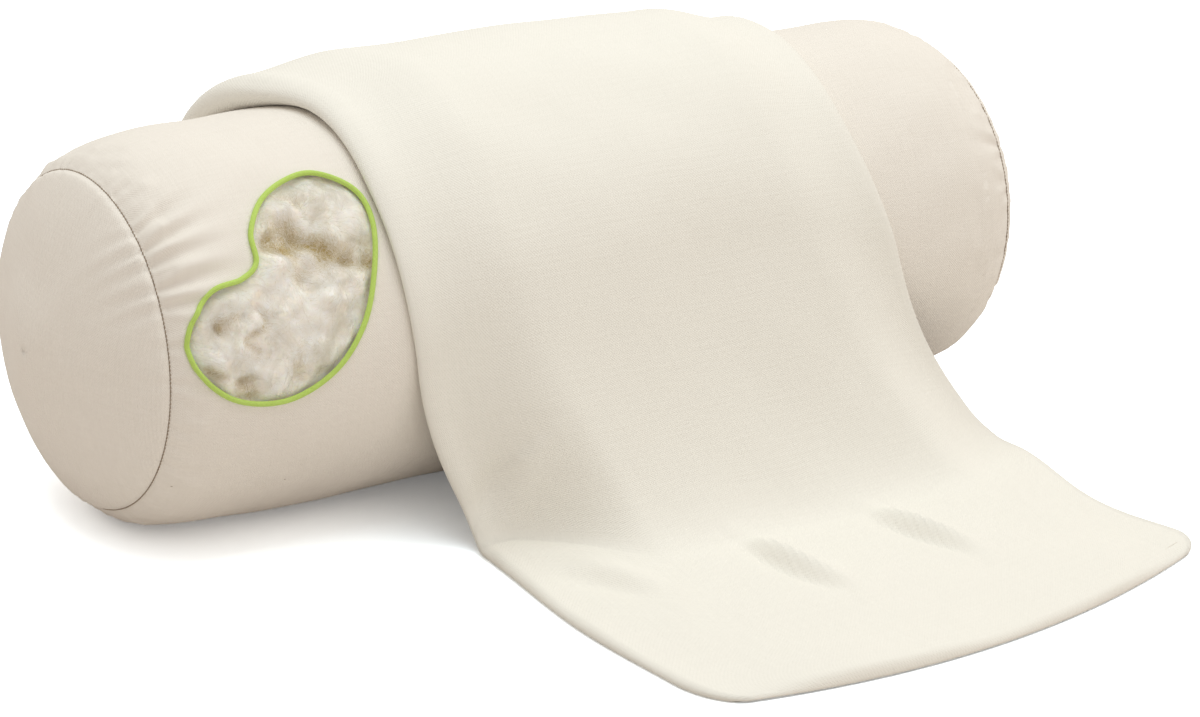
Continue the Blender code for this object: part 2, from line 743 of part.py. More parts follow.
hang = math.radians(CASE_BACK_ANGLE)
case_out = Vector((0, math.cos(hang), -math.sin(hang)))
mouth_reach = BARREL_RADIUS + CASE_CLEARANCE + full_height(0.0) / 2
mouth = mouth_reach * Vector((0, math.sin(hang), math.cos(hang)))
mouth += Vector((sum(side_edges(0.0)) / 2, 0, AXIS_HEIGHT))
case_runner = bpy.data.objects.new("case_zip_runner", None)
bpy.context.scene.collection.objects.link(case_runner)
parented(case_runner, case_lift)
make_zip("case_zip", CASE_ZIP_LENGTH, CASE_TAPE_HALF, -CASE_TAPE_SINK, -1, -90,
         zip_place(mouth, case_out), case_lift, case_runner, (zip_tape, zip_coil, zip_metal))
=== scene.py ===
import math

import bpy
import numpy as np
from mathutils import Matrix, Vector


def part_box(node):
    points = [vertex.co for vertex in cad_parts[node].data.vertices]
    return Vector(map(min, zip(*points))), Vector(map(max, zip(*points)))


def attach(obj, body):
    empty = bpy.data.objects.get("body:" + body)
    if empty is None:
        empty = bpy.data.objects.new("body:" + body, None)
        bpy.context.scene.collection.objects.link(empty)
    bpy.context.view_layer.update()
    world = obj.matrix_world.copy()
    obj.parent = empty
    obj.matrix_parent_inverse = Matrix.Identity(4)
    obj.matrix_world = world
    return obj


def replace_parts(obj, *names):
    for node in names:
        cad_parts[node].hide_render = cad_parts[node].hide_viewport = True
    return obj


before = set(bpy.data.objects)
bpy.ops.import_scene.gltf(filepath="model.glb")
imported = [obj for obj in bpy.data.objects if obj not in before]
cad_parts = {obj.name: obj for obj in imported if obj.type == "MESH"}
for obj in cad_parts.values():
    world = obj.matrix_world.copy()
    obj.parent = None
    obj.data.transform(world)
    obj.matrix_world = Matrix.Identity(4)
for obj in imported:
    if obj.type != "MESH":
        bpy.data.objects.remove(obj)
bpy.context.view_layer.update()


# ---------------------------------------------------------------- studio
# A plain white floor under one broad softbox, in an evenly lit room that is a little dimmer on
# the left. The camera stands off the bolster's left front, through a long lens.

CAMERA_SPOT = Vector((-1.1834, -1.6846, 0.8735))
CAMERA_AIM = Vector((0.0538, 0.0, 0.0324))
CAMERA_ROLL = math.radians(3.88)
LENS = 125.3
SENSOR = 36.0
ROOM_COLOUR = (1.0, 0.915, 0.845)
ROOM_DIM = 0.50
ROOM_BRIGHT = 0.93
SOFTBOX_COLOUR = (0.905, 1.0, 1.0)
SOFTBOX_SIZE = 3.0
SOFTBOX_HEIGHT = 3.0
SOFTBOX_WATTS = 49.0
FLOOR_SIZE = 14.0
FLOOR_GLOW = 0.10
FLOOR_PAPER = (1.82, 2.00, 2.18)
FLOOR_BOUNCE = (0.78, 0.735, 0.69)


def add_node(tree, kind, inputs=None, **settings):
    """A shader node with its settings; an input given as a socket is linked, any other is set."""
    made = tree.nodes.new("ShaderNode" + kind)
    for key, value in settings.items():
        setattr(made, key, value)
    for key, value in (inputs or {}).items():
        if isinstance(value, bpy.types.NodeSocket):
            tree.links.new(value, made.inputs[key])
        else:
            made.inputs[key].default_value = value
    return made


def light_room():
    world = bpy.data.worlds.new("room")
    bpy.context.scene.world = world
    world.use_nodes = True
    tree = world.node_tree
    background = tree.nodes["Background"]
    background.inputs["Color"].default_value = (*ROOM_COLOUR, 1)
    way = add_node(tree, "TexCoord")
    split = add_node(tree, "SeparateXYZ", {"Vector": way.outputs["Generated"]})
    level = add_node(tree, "MapRange", {
        "Value": split.outputs["X"], "From Min": -1.0, "From Max": 1.0,
        "To Min": ROOM_DIM, "To Max": ROOM_BRIGHT,
    })
    tree.links.new(level.outputs["Result"], background.inputs["Strength"])
    lamp = bpy.data.lights.new("softbox", "AREA")
    lamp.size = SOFTBOX_SIZE
    lamp.energy = SOFTBOX_WATTS
    lamp.color = SOFTBOX_COLOUR
    softbox = bpy.data.objects.new("softbox", lamp)
    softbox.location = (0.2, 0.1, SOFTBOX_HEIGHT)
    bpy.context.scene.collection.objects.link(softbox)


def light_table():
    """White paper on a softly lit table: shadows on it are pale, and it still bounces light up."""
    made = bpy.data.materials.new("light_table")
    made.use_nodes = True
    tree = made.node_tree
    tree.nodes.clear()
    glow = add_node(tree, "Emission", {"Color": (1, 1, 1, 1), "Strength": FLOOR_GLOW})
    paper = add_node(tree, "BsdfDiffuse", {"Color": (*FLOOR_PAPER, 1)})
    seen = add_node(tree, "AddShader", {0: glow.outputs[0], 1: paper.outputs[0]})
    bounce = add_node(tree, "BsdfDiffuse", {"Color": (*FLOOR_BOUNCE, 1)})
    way = add_node(tree, "LightPath")
    both = add_node(tree, "MixShader", {
        0: way.outputs["Is Camera Ray"], 1: bounce.outputs[0], 2: seen.outputs[0],
    })
    add_node(tree, "OutputMaterial", {"Surface": both.outputs[0]})
    return made


def lay_floor():
    mesh = bpy.data.meshes.new("floor")
    half = FLOOR_SIZE / 2
    corners = [(-half, -half, 0), (half, -half, 0), (half, half, 0), (-half, half, 0)]
    mesh.from_pydata(corners, [], [(0, 1, 2, 3)])
    mesh.materials.append(light_table())
    floor = bpy.data.objects.new("floor", mesh)
    bpy.context.scene.collection.objects.link(floor)


def stand_camera():
    lens = bpy.data.cameras.new("camera")
    lens.lens = LENS
    lens.sensor_width = SENSOR
    lens.sensor_fit = "HORIZONTAL"
    lens.clip_end = 50.0
    camera = bpy.data.objects.new("camera", lens)
    forward = (CAMERA_AIM - CAMERA_SPOT).normalized()
    level = forward.cross(Vector((0, 0, 1))).normalized()
    right = level * math.cos(CAMERA_ROLL) + level.cross(forward) * math.sin(CAMERA_ROLL)
    up = right.cross(forward)
    turn = Matrix((right, up, -forward)).transposed().to_4x4()
    camera.matrix_world = Matrix.Translation(CAMERA_SPOT) @ turn
    bpy.context.scene.collection.objects.link(camera)
    bpy.context.scene.camera = camera


bpy.context.scene.view_settings.view_transform = "Standard"
light_room()
lay_floor()
stand_camera()


# ---------------------------------------------------------------- kapok filling
# Kapok is a silky seed fibre. Blown into the casing it makes a firm round body, and where the
# casing is open it shows as cream tufts with hollows between them, their golden colour painted shade.

barrel_low, barrel_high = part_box("casing_barrel")
BARREL_RADIUS = (barrel_high.y - barrel_low.y) / 2
AXIS_HEIGHT = barrel_high.z - BARREL_RADIUS
HALF_SEAM = barrel_high.x
SEAM_RADIUS = 0.0861
SHOULDER_POWER = 16.5
SEAM_DIP = 0.0014
SEAM_DIP_WIDTH = 0.0035
DOME_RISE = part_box("casing_end_right")[1].x - HALF_SEAM
DOME_POWER = 1.35
CASING_WALL = 0.0012
SEAM_ALLOWANCE = 0.008
FILLING_DEPTH = 0.0017
DOME_FILLING_DEPTH = 0.0048
FLOOR_GAP = 0.0003

# Kidney-shaped window: its size, its lower left corner, and its outline in shares of its size
WINDOW_LENGTH = 0.110
WINDOW_HEIGHT = 0.111
WINDOW_LEFT = -HALF_SEAM + 0.0069
WINDOW_BASE = -0.0044
KIDNEY = (
    (0.82, 1.00), (0.66, 0.985), (0.505, 0.905), (0.395, 0.76), (0.375, 0.625), (0.285, 0.565),
    (0.125, 0.53), (0.005, 0.36), (0.035, 0.18), (0.195, 0.035), (0.44, 0.0), (0.67, 0.095),
    (0.83, 0.265), (0.93, 0.48), (1.00, 0.715), (0.975, 0.885),
)

# Hollows between the tufts: along and up in shares of the window, their reach and depth in metres
HOLLOWS = (
    (0.50, 0.73, 0.010, 0.0050), (0.60, 0.68, 0.011, 0.0070), (0.70, 0.62, 0.010, 0.0075),
    (0.82, 0.60, 0.009, 0.0065), (0.94, 0.53, 0.008, 0.0060), (0.17, 0.39, 0.0045, 0.0050),
    (0.33, 0.34, 0.0060, 0.0045), (0.29, 0.27, 0.0060, 0.0035), (0.10, 0.14, 0.0045, 0.0050),
    (0.27, 0.06, 0.0055, 0.0045), (0.49, 0.16, 0.0080, 0.0035), (0.90, 0.42, 0.0060, 0.0030),
    (0.66, 0.93, 0.0060, 0.0020), (0.86, 0.93, 0.0060, 0.0025),
)
FIBRE_COUNT = 7500
FIBRE_STEP = 0.0017
FIBRE_POINTS = 7
FIBRE_RADIUS = 0.00009
KAPOK_WHITE = (0.95, 0.94, 0.90)
KAPOK_CREAM = (0.90, 0.84, 0.75)
# Dull grey-olive for random patches of painted shade over the tufts
KAPOK_PATCH_SHADE = (0.68, 0.64, 0.53)
# Golden painted shade for the hollows between the tufts
KAPOK_GOLDEN_SHADE = (0.48, 0.37, 0.17)


def barrel_radius(x):
    """Outer radius of the casing along the bolster: drawn in at each seam, with the seam's dip."""
    drawn_in = (BARREL_RADIUS - SEAM_RADIUS) * np.minimum(np.abs(x) / HALF_SEAM, 1) ** SHOULDER_POWER
    dip = SEAM_DIP * np.exp(-(((HALF_SEAM - np.abs(x)) / SEAM_DIP_WIDTH) ** 2))
    return BARREL_RADIUS - drawn_in - dip


def round_axis(x, angle, radius, floor=FLOOR_GAP):
    """Points round the bolster's axis: angle 0 faces the front, a quarter turn is the top."""
    y = -radius * np.cos(angle)
    z = np.maximum(AXIS_HEIGHT + radius * np.sin(angle), floor)
    return np.stack(np.broadcast_arrays(x, y, z), axis=-1)


def smooth_loop(points, steps):
    """A closed Catmull-Rom curve through the points."""
    points = np.array(points, float)
    before, after = np.roll(points, 1, axis=0), np.roll(points, -1, axis=0)
    beyond = np.roll(points, -2, axis=0)
    share = (np.arange(steps) / steps)[:, None, None]
    curve = 0.5 * (2 * points + (after - before) * share
                   + (2 * before - 5 * points + 4 * after - beyond) * share**2
                   + (3 * points - before - 3 * after + beyond) * share**3)
    return curve.transpose(1, 0, 2).reshape(-1, points.shape[1])


def inside_outline(x, way, outline):
    """Which points (x, way round the barrel) lie inside a closed outline."""
    inside = np.zeros(np.broadcast(x, way).shape, bool)
    for (x0, w0), (x1, w1) in zip(outline, np.roll(outline, -1, axis=0)):
        crosses = (w0 > way) != (w1 > way)
        inside ^= crosses & (x < (x1 - x0) * (way - w0) / (w1 - w0 + 1e-12) + x0)
    return inside


def outline_distance(x, way, outline):
    """Distance from each point to the nearest of the outline's points."""
    nearest = np.full(np.broadcast(x, way).shape, 1.0)
    for point in outline:
        nearest = np.minimum(nearest, np.hypot(x - point[0], way - point[1]))
    return nearest


def soft_waves(points, wavelength, seed, count=14):
    """Smooth random waves over points in space, between about -1 and 1."""
    rng = np.random.default_rng(seed)
    ways = rng.normal(size=(count, points.shape[-1]))
    ways /= np.linalg.norm(ways, axis=1, keepdims=True)
    ways *= 2 * math.pi / wavelength * rng.uniform(0.6, 1.5, (count, 1))
    phases = rng.uniform(0, 2 * math.pi, count)
    return np.sin(points @ ways.T + phases).sum(-1) / math.sqrt(count)


def sheet_of(name, points, surface, flat, closed=False, keep=None):
    """A cloth surface from rows of points; flat is where each point lies on the uncut cloth."""
    rows, columns = points.shape[:2]
    index = np.arange(rows * columns).reshape(rows, columns)
    if closed:
        index = np.concatenate([index, index[:, :1]], axis=1)
    corners = np.stack([index[:-1, :-1], index[1:, :-1], index[1:, 1:], index[:-1, 1:]], axis=-1)
    cloth = np.stack([flat[:-1, :-1], flat[1:, :-1], flat[1:, 1:], flat[:-1, 1:]], axis=2)
    if keep is None:
        keep = np.ones(corners.shape[:2], bool)
    corners, cloth = corners[keep], cloth[keep]
    used, corners = np.unique(corners, return_inverse=True)
    mesh = bpy.data.meshes.new(name)
    mesh.from_pydata(points.reshape(-1, 3)[used].tolist(), [], corners.reshape(-1, 4).tolist())
    uv = mesh.uv_layers.new(name="cloth")
    uv.data.foreach_set("uv", cloth.reshape(-1).astype(np.float32))
    mesh.shade_smooth()
    mesh.materials.append(surface)
    made = bpy.data.objects.new(name, mesh)
    bpy.context.scene.collection.objects.link(made)
    return made, used


def rods(name, paths, out, radius, sides, surface, closed=False):
    """Round rods along paths of (count, points, 3); out is square to them, radius may vary."""
    if closed:
        along = np.roll(paths, -1, axis=1) - np.roll(paths, 1, axis=1)
    else:
        along = np.gradient(paths, axis=1)
    along /= np.linalg.norm(along, axis=-1, keepdims=True)
    side = np.cross(along, np.broadcast_to(out, paths.shape))
    side /= np.linalg.norm(side, axis=-1, keepdims=True)
    rise = np.cross(side, along)
    turn = np.arange(sides) * 2 * math.pi / sides
    reach = np.broadcast_to(radius, paths.shape[:2])[:, :, None, None]
    ring = np.cos(turn)[:, None] * side[:, :, None] + np.sin(turn)[:, None] * rise[:, :, None]
    points = paths[:, :, None] + reach * ring
    count, length = paths.shape[:2]
    index = np.arange(count * length * sides).reshape(count, length, sides)
    following = np.roll(index, -1, axis=1) if closed else index[:, 1:]
    here = index if closed else index[:, :-1]
    walls = np.stack([here, following, np.roll(following, -1, 2), np.roll(here, -1, 2)], axis=-1)
    faces = walls.reshape(-1, 4).tolist()
    if not closed:
        faces += index[:, 0].tolist() + index[:, -1, ::-1].tolist()
    mesh = bpy.data.meshes.new(name)
    mesh.from_pydata(points.reshape(-1, 3).tolist(), [], faces)
    mesh.shade_smooth()
    mesh.materials.append(surface)
    made = bpy.data.objects.new(name, mesh)
    bpy.context.scene.collection.objects.link(made)
    return made


def new_material(name):
    made = bpy.data.materials.new(name)
    made.use_nodes = True
    return made, made.node_tree, made.node_tree.nodes["Principled BSDF"]


def kapok_material(name, streak):
    """Silky fibre: white and cream at random, random dull patches of painted shade, and golden painted shade
    in the hollows, by the mesh's own depth.
    """
    made, tree, shader = new_material(name)
    depth = add_node(tree, "Attribute", attribute_name="hollow_shade")
    place = add_node(tree, "TexCoord")
    cloud = add_node(tree, "TexNoise", {
        "Vector": place.outputs["Object"], "Scale": 95.0, "Detail": 4.0, "Roughness": 0.6,
    })
    cloud_ramp = add_node(tree, "MapRange", {
        "Value": cloud.outputs["Fac"], "From Min": 0.35, "From Max": 0.65,
    })
    clean = add_node(tree, "Mix", {
        "Factor": cloud_ramp.outputs["Result"], "A": (*KAPOK_CREAM, 1), "B": (*KAPOK_WHITE, 1),
    }, data_type="RGBA")
    # Painted shade: dull grey-olive patches laid at random over the white and cream.
    patch = add_node(tree, "TexNoise", {
        "Vector": place.outputs["Object"], "Scale": 48.0, "Detail": 5.0, "Roughness": 0.65, "Distortion": 0.8,
    })
    shade_patch_mask = add_node(tree, "MapRange", {
        "Value": patch.outputs["Fac"], "From Min": 0.52, "From Max": 0.70, "To Max": 0.85,
    })
    pale = add_node(tree, "Mix", {
        "Factor": shade_patch_mask.outputs["Result"], "A": clean.outputs["Result"], "B": (*KAPOK_PATCH_SHADE, 1),
    }, data_type="RGBA")
    wisps = add_node(tree, "TexNoise", {
        "Vector": place.outputs["Object"], "Scale": streak, "Detail": 3.0, "Distortion": 1.4,
    })
    # Painted shade: the depth of the hollows, broken up by the wisps, mixes in the golden shade colour.
    sunk = add_node(tree, "Math", {0: depth.outputs["Fac"], 1: wisps.outputs["Fac"]}, operation="MULTIPLY")
    golden_shade_mask = add_node(tree, "MapRange", {"Value": sunk.outputs["Value"], "From Min": 0.10, "From Max": 0.48})
    tint = add_node(tree, "Mix", {
        "Factor": golden_shade_mask.outputs["Result"], "A": pale.outputs["Result"], "B": (*KAPOK_GOLDEN_SHADE, 1),
    }, data_type="RGBA")
    tree.links.new(tint.outputs["Result"], shader.inputs["Base Color"])
    shader.inputs["Roughness"].default_value = 0.65
    shader.inputs["Specular IOR Level"].default_value = 0.15
    shader.inputs["Subsurface Weight"].default_value = 0.5
    shader.inputs["Subsurface Radius"].default_value = (1.0, 0.8, 0.5)
    shader.inputs["Subsurface Scale"].default_value = 0.002
    shader.inputs["Sheen Weight"].default_value = 0.25
    shader.inputs["Sheen Roughness"].default_value = 0.4
    bump = add_node(tree, "Bump", {"Height": wisps.outputs["Fac"], "Strength": 0.4, "Distance": 0.0006})
    tree.links.new(bump.outputs["Normal"], shader.inputs["Normal"])
    return made


def set_values(obj, name, values):
    spots = obj.data.attributes.new(name, "FLOAT", "POINT")
    spots.data.foreach_set("value", np.ascontiguousarray(values, np.float32).reshape(-1))


window = np.array(smooth_loop(KIDNEY, 10)) * (WINDOW_LENGTH, WINDOW_HEIGHT) + (WINDOW_LEFT, WINDOW_BASE)


def tuft_height(x, way):
    """Height of the filling over its plain round body, and how deep each point lies in the hollows, which
    sets the golden painted shade there.
    """
    margin = np.clip(outline_distance(x, way, window) / 0.007, 0, 1)
    shown = np.where(inside_outline(x, way, window), margin, 0.0)
    spot = np.stack(np.broadcast_arrays(x, way), axis=-1)
    lumps = 0.0019 * soft_waves(spot, 0.030, 3) + 0.0009 * soft_waves(spot, 0.013, 4)
    lumps = lumps + 0.0002 * soft_waves(spot, 0.005, 5)
    x = x + 0.0030 * soft_waves(spot, 0.022, 6)
    way = way + 0.0030 * soft_waves(spot, 0.022, 7)
    near_seam = np.exp(-(((HALF_SEAM - np.abs(x)) / 0.028) ** 2))
    sunk = np.zeros(shown.shape)
    for along, up, reach, depth in HOLLOWS:
        middle_x = WINDOW_LEFT + along * WINDOW_LENGTH
        middle_way = WINDOW_BASE + up * WINDOW_HEIGHT
        spread = ((x - middle_x) ** 2 + (way - middle_way) ** 2) / reach**2
        sunk = np.hypot(sunk, depth * np.exp(-spread))
    height = shown * (0.0022 + lumps) - sunk * np.where(shown > 0, 1.0, 0.0) * (0.35 + 0.65 * shown)
    height = height - 0.0030 * near_seam * (1 - shown)
    return height, np.clip(sunk / 0.007, 0, 1)


def filling_profile():
    """x and radius of the filling from pole to pole, closest together across the window."""
    right_throat = HALF_SEAM - 0.0018
    dome_start = HALF_SEAM + 0.0019
    throat = SEAM_RADIUS - SEAM_ALLOWANCE - 0.0006
    left_part = np.linspace(-right_throat, WINDOW_LEFT - 0.004, 5)
    shown_part = np.linspace(WINDOW_LEFT - 0.003, WINDOW_LEFT + WINDOW_LENGTH + 0.003, 98)
    plain_part = np.linspace(WINDOW_LEFT + WINDOW_LENGTH + 0.008, right_throat, 44)
    barrel = np.concatenate([left_part, shown_part, plain_part])
    radius = barrel_radius(barrel) - FILLING_DEPTH
    share = np.sin(np.linspace(math.pi / 2 * 0.93, 0, 16))
    dome_radius = (SEAM_RADIUS - DOME_FILLING_DEPTH) * share
    dome_x = dome_start + (DOME_RISE - DOME_FILLING_DEPTH) * (1 - share**DOME_POWER) ** (1 / DOME_POWER)
    left_seam, right_seam = [-dome_start, -right_throat], [right_throat, dome_start]
    x = np.concatenate([-dome_x[::-1], left_seam, barrel, right_seam, dome_x])
    r = np.concatenate([dome_radius[::-1], [throat, throat], radius, [throat, throat], dome_radius])
    return x, r


def make_filling():
    x, radius = filling_profile()
    shown_way = np.linspace(WINDOW_BASE - 0.003, WINDOW_BASE + WINDOW_HEIGHT + 0.003, 96)
    hidden_way = np.linspace(shown_way[-1] + 0.005, 2 * math.pi * BARREL_RADIUS + shown_way[0] - 0.005, 90)
    way = np.concatenate([shown_way, hidden_way])
    grid_x, grid_way = np.meshgrid(x, way, indexing="ij")
    height, hollow_shade = tuft_height(grid_x, grid_way)
    points = round_axis(grid_x, grid_way / BARREL_RADIUS, radius[:, None] + height, FILLING_DEPTH)
    flat = np.stack(np.meshgrid(np.append(way, way[0]), x), axis=-1)
    body, _ = sheet_of("kapok_filling_body", points, kapok_material("kapok", 620.0), flat, closed=True)
    set_values(body, "hollow_shade", hollow_shade)
    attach(body, "bolster")
    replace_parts(body, "kapok_filling")


def make_tufts():
    """Fine fibres that swirl over the tufts inside the window."""
    rng = np.random.default_rng(11)
    count = FIBRE_COUNT * 2
    x = WINDOW_LEFT + rng.uniform(0, 1, count) * WINDOW_LENGTH
    way = WINDOW_BASE + rng.uniform(0, 1, count) * WINDOW_HEIGHT
    inner = window + (np.mean(window, axis=0) - window) * 0.02
    stray = rng.normal(0, 0.5, count)
    steps = [np.stack([x, way], axis=-1)]
    for _ in range(FIBRE_POINTS - 1):
        spot = steps[-1]
        swirl = 1.9 * soft_waves(spot, 0.045, 21) + 0.8 * soft_waves(spot, 0.012, 22) + stray
        heading = np.stack([np.cos(swirl), np.sin(swirl)], axis=-1)
        steps.append(spot + heading * FIBRE_STEP * rng.uniform(0.75, 1.1, (count, 1)))
    run = np.stack(steps, axis=1)
    fits = inside_outline(run[..., 0], run[..., 1], inner).all(axis=1)
    run = run[fits][:FIBRE_COUNT]
    count = len(run)
    height, hollow_shade = tuft_height(run[..., 0], run[..., 1])
    arch = np.sin(np.linspace(0.15, 2.6, FIBRE_POINTS)) * rng.uniform(0.0001, 0.0012, (count, 1))
    radius = barrel_radius(run[..., 0]) - FILLING_DEPTH + height + arch
    angle = run[..., 1] / BARREL_RADIUS
    paths = round_axis(run[..., 0], angle, radius)
    out = np.stack([np.zeros_like(angle), -np.cos(angle), np.sin(angle)], axis=-1)
    taper = FIBRE_RADIUS * np.linspace(1.0, 0.35, FIBRE_POINTS) * rng.uniform(0.6, 1.3, (count, 1))
    fibres = rods("kapok_tufts", paths, out, taper, 3, kapok_material("kapok_fibre", 900.0))
    # Each fibre's colour mask: golden painted shade from the depth of the hollows, plus a random tone.
    tone = hollow_shade * rng.uniform(0.2, 1.0, (count, 1)) + rng.uniform(0, 0.75, (count, 1)) ** 2.5
    set_values(fibres, "hollow_shade", np.repeat(tone, 3, axis=1))
    fibres.visible_shadow = False
    fibres.visible_diffuse = False
    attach(fibres, "bolster")


make_filling()
make_tufts()


# ---------------------------------------------------------------- barrel panel of the casing
# One piece of natural woven cotton, rolled into a tube round the filling and sewn into itself.
# Both ends are eased onto smaller round panels, which gathers the cloth into soft puckers.

BARREL_COLUMNS = 540
WARP_PER_METRE = 1500.0
COTTON_PALE = (0.875, 0.835, 0.775)
COTTON_DEEP = (0.842, 0.80, 0.738)
PUCKER_WIDTH = 0.0022
RANDOM_PUCKERS = 60

# The stuffed panel: where its points lie along and round the barrel, how much spare cloth it has,
# how hard it is blown up and for how long, and the least and most that its cloth may move
STUFFED_X = HALF_SEAM * np.sin(np.linspace(-math.pi / 2, math.pi / 2, 70))
STUFFED_ANGLE = np.linspace(0, 2 * math.pi, 160, endpoint=False)
STUFFED_EASE = 0.035
STUFFED_PRESSURE = 4.0
STUFFED_FRAMES = 24
STUFFED_QUALITY = 6
STUFFED_POINT_MASS = 0.15
STUFFED_BENDING = 0.02
STUFFED_LEAST = -0.0008
STUFFED_MOST = 0.0014

# The filling zip's slot: degrees behind the top, width, and half its length
ZIP_BEHIND_TOP = 78.75
ZIP_SLOT = 0.0100
ZIP_SLOT_REACH = 0.1532

# Puckers listed one by one where they are largest: side, degrees above the front, reach, depth, lean
PUCKERS = (
    (-1, 74, 0.016, 0.0014, 0.10), (-1, 57, 0.022, 0.0025, 0.25), (-1, 50, 0.030, 0.0029, 0.18),
    (-1, 44, 0.026, 0.0026, 0.10), (-1, 36, 0.030, 0.0028, 0.04), (-1, 30, 0.022, 0.0021, -0.06),
    (-1, -17, 0.014, 0.0016, -0.1), (-1, -24, 0.018, 0.0020, -0.2), (1, 34, 0.020, 0.0018, 0.1),
    (1, 21, 0.018, 0.0012, 0.05), (1, -23, 0.014, 0.0010, -0.1),
)


def build_weave():
    """Plain-woven cotton: crossing threads with slubs, and a faint cloudiness over the cloth."""
    group = bpy.data.node_groups.new("cotton_weave", "ShaderNodeTree")
    group.interface.new_socket("Cloth", in_out="INPUT", socket_type="NodeSocketVector")
    group.interface.new_socket("Threads per metre", in_out="INPUT", socket_type="NodeSocketFloat")
    group.interface.new_socket("Slub", in_out="INPUT", socket_type="NodeSocketFloat")
    group.interface.new_socket("Height", in_out="OUTPUT", socket_type="NodeSocketFloat")
    group.interface.new_socket("Shade", in_out="OUTPUT", socket_type="NodeSocketFloat")
    start = group.nodes.new("NodeGroupInput")
    end = group.nodes.new("NodeGroupOutput")
    threads = add_node(group, "VectorMath", {
        0: start.outputs["Cloth"], "Scale": start.outputs["Threads per metre"],
    }, operation="SCALE")
    split = add_node(group, "SeparateXYZ", {0: threads.outputs["Vector"]})
    waves = []
    for axis in ("X", "Y"):
        turned = add_node(group, "Math", {0: split.outputs[axis], 1: math.pi}, operation="MULTIPLY")
        waves.append(add_node(group, "Math", {0: turned.outputs[0]}, operation="SINE"))
    crossing = add_node(group, "Math", {0: waves[0].outputs[0], 1: waves[1].outputs[0]}, operation="MULTIPLY")
    slubs = []
    for stretch in ((0.06, 0.9, 1.0), (0.9, 0.06, 1.0)):
        pulled = add_node(group, "VectorMath", {
            0: threads.outputs["Vector"], 1: stretch,
        }, operation="MULTIPLY")
        slubs.append(add_node(group, "TexNoise", {
            "Vector": pulled.outputs["Vector"], "Scale": 0.55, "Detail": 2.0, "Roughness": 0.55,
        }))
    both = add_node(group, "Math", {0: slubs[0].outputs["Fac"], 1: slubs[1].outputs["Fac"]}, operation="ADD")
    slub = add_node(group, "Math", {0: both.outputs[0], 1: start.outputs["Slub"]}, operation="MULTIPLY")
    quarter = add_node(group, "Math", {0: crossing.outputs[0], 1: 0.25}, operation="MULTIPLY")
    height = add_node(group, "Math", {0: quarter.outputs[0], 1: slub.outputs[0]}, operation="ADD")
    cloud = add_node(group, "TexNoise", {
        "Vector": start.outputs["Cloth"], "Scale": 38.0, "Detail": 3.0, "Roughness": 0.5,
    })
    wash = add_node(group, "Math", {0: cloud.outputs["Fac"], 1: 0.35}, operation="MULTIPLY")
    shade = add_node(group, "Math", {0: both.outputs[0], 1: wash.outputs[0]}, operation="ADD")
    faded = add_node(group, "MapRange", {"Value": shade.outputs[0], "From Min": 0.80, "From Max": 1.55})
    group.links.new(height.outputs[0], end.inputs["Height"])
    group.links.new(faded.outputs["Result"], end.inputs["Shade"])
    return group


cotton_weave = build_weave()


def cotton_cloth(name, pale, deep, threads, slub, depth, specks=0.0):
    """A cotton cloth material: its two tones, threads per metre, slubs, relief and seed specks."""
    made, tree, shader = new_material(name)
    cloth = add_node(tree, "UVMap", uv_map="cloth")
    weave = add_node(tree, "Group", node_tree=cotton_weave)
    tree.links.new(cloth.outputs["UV"], weave.inputs["Cloth"])
    weave.inputs["Threads per metre"].default_value = threads
    weave.inputs["Slub"].default_value = slub
    tone = add_node(tree, "Mix", {
        "Factor": weave.outputs["Shade"], "A": (*deep, 1), "B": (*pale, 1),
    }, data_type="RGBA")
    colour = tone.outputs["Result"]
    if specks:
        seeds = add_node(tree, "TexVoronoi", {"Vector": cloth.outputs["UV"], "Scale": 34.0})
        small = add_node(tree, "MapRange", {
            "Value": seeds.outputs["Distance"], "From Min": 0.012, "From Max": 0.022,
            "To Min": specks, "To Max": 0.0,
        })
        fleck = add_node(tree, "Mix", {
            "Factor": small.outputs["Result"], "A": colour, "B": (0.30, 0.22, 0.15, 1),
        }, data_type="RGBA")
        colour = fleck.outputs["Result"]
    tree.links.new(colour, shader.inputs["Base Color"])
    shader.inputs["Roughness"].default_value = 0.88
    shader.inputs["Specular IOR Level"].default_value = 0.2
    shader.inputs["Sheen Weight"].default_value = 0.12
    shader.inputs["Sheen Roughness"].default_value = 0.5
    bump = add_node(tree, "Bump", {"Height": weave.outputs["Height"], "Strength": 0.6, "Distance": depth})
    tree.links.new(bump.outputs["Normal"], shader.inputs["Normal"])
    return made


def pucker_list(side):
    """Every pucker of one seam, as angle, reach, depth and lean: those listed, then a scatter."""
    rng = np.random.default_rng(31 + side)
    found = [(math.radians(p[1]), *p[2:]) for p in PUCKERS if p[0] == side]
    for _ in range(RANDOM_PUCKERS):
        angle = rng.uniform(0, 2 * math.pi)
        pucker = (angle, rng.uniform(0.006, 0.016), rng.uniform(0.0005, 0.0014), rng.uniform(-0.15, 0.15))
        if all(abs(angle - other[0]) > 0.065 for other in found):
            found.append(pucker)
    return found


def puckers(distance, angle, side):
    """Height of the gathered cloth at this distance from a seam: narrow valleys, raised beside."""
    height = np.zeros(np.broadcast(distance, angle).shape)
    away = np.maximum(distance, 0)
    for middle, reach, depth, lean in pucker_list(side):
        turn = (angle - middle + math.pi) % (2 * math.pi) - math.pi
        width = PUCKER_WIDTH * (1 + away / reach)
        across = (turn * BARREL_RADIUS - lean * away) / width
        valley = np.exp(-(across**2)) - 0.55 * np.exp(-((np.abs(across) - 1.9) ** 2))
        height -= depth * valley * np.exp(-((away / reach) ** 2)) * away / (away + 0.0008)
    return height


def barrel_stations():
    """x of the barrel panel's rows: closest together at the seams and across the window."""
    near_seam = HALF_SEAM - 0.024 * (1 - np.cos(np.linspace(0, math.pi / 2, 20)))
    middle = np.arange(-near_seam[-1] + 0.002, near_seam[-1], 0.0026)
    return np.concatenate([-near_seam, middle, near_seam[::-1]])


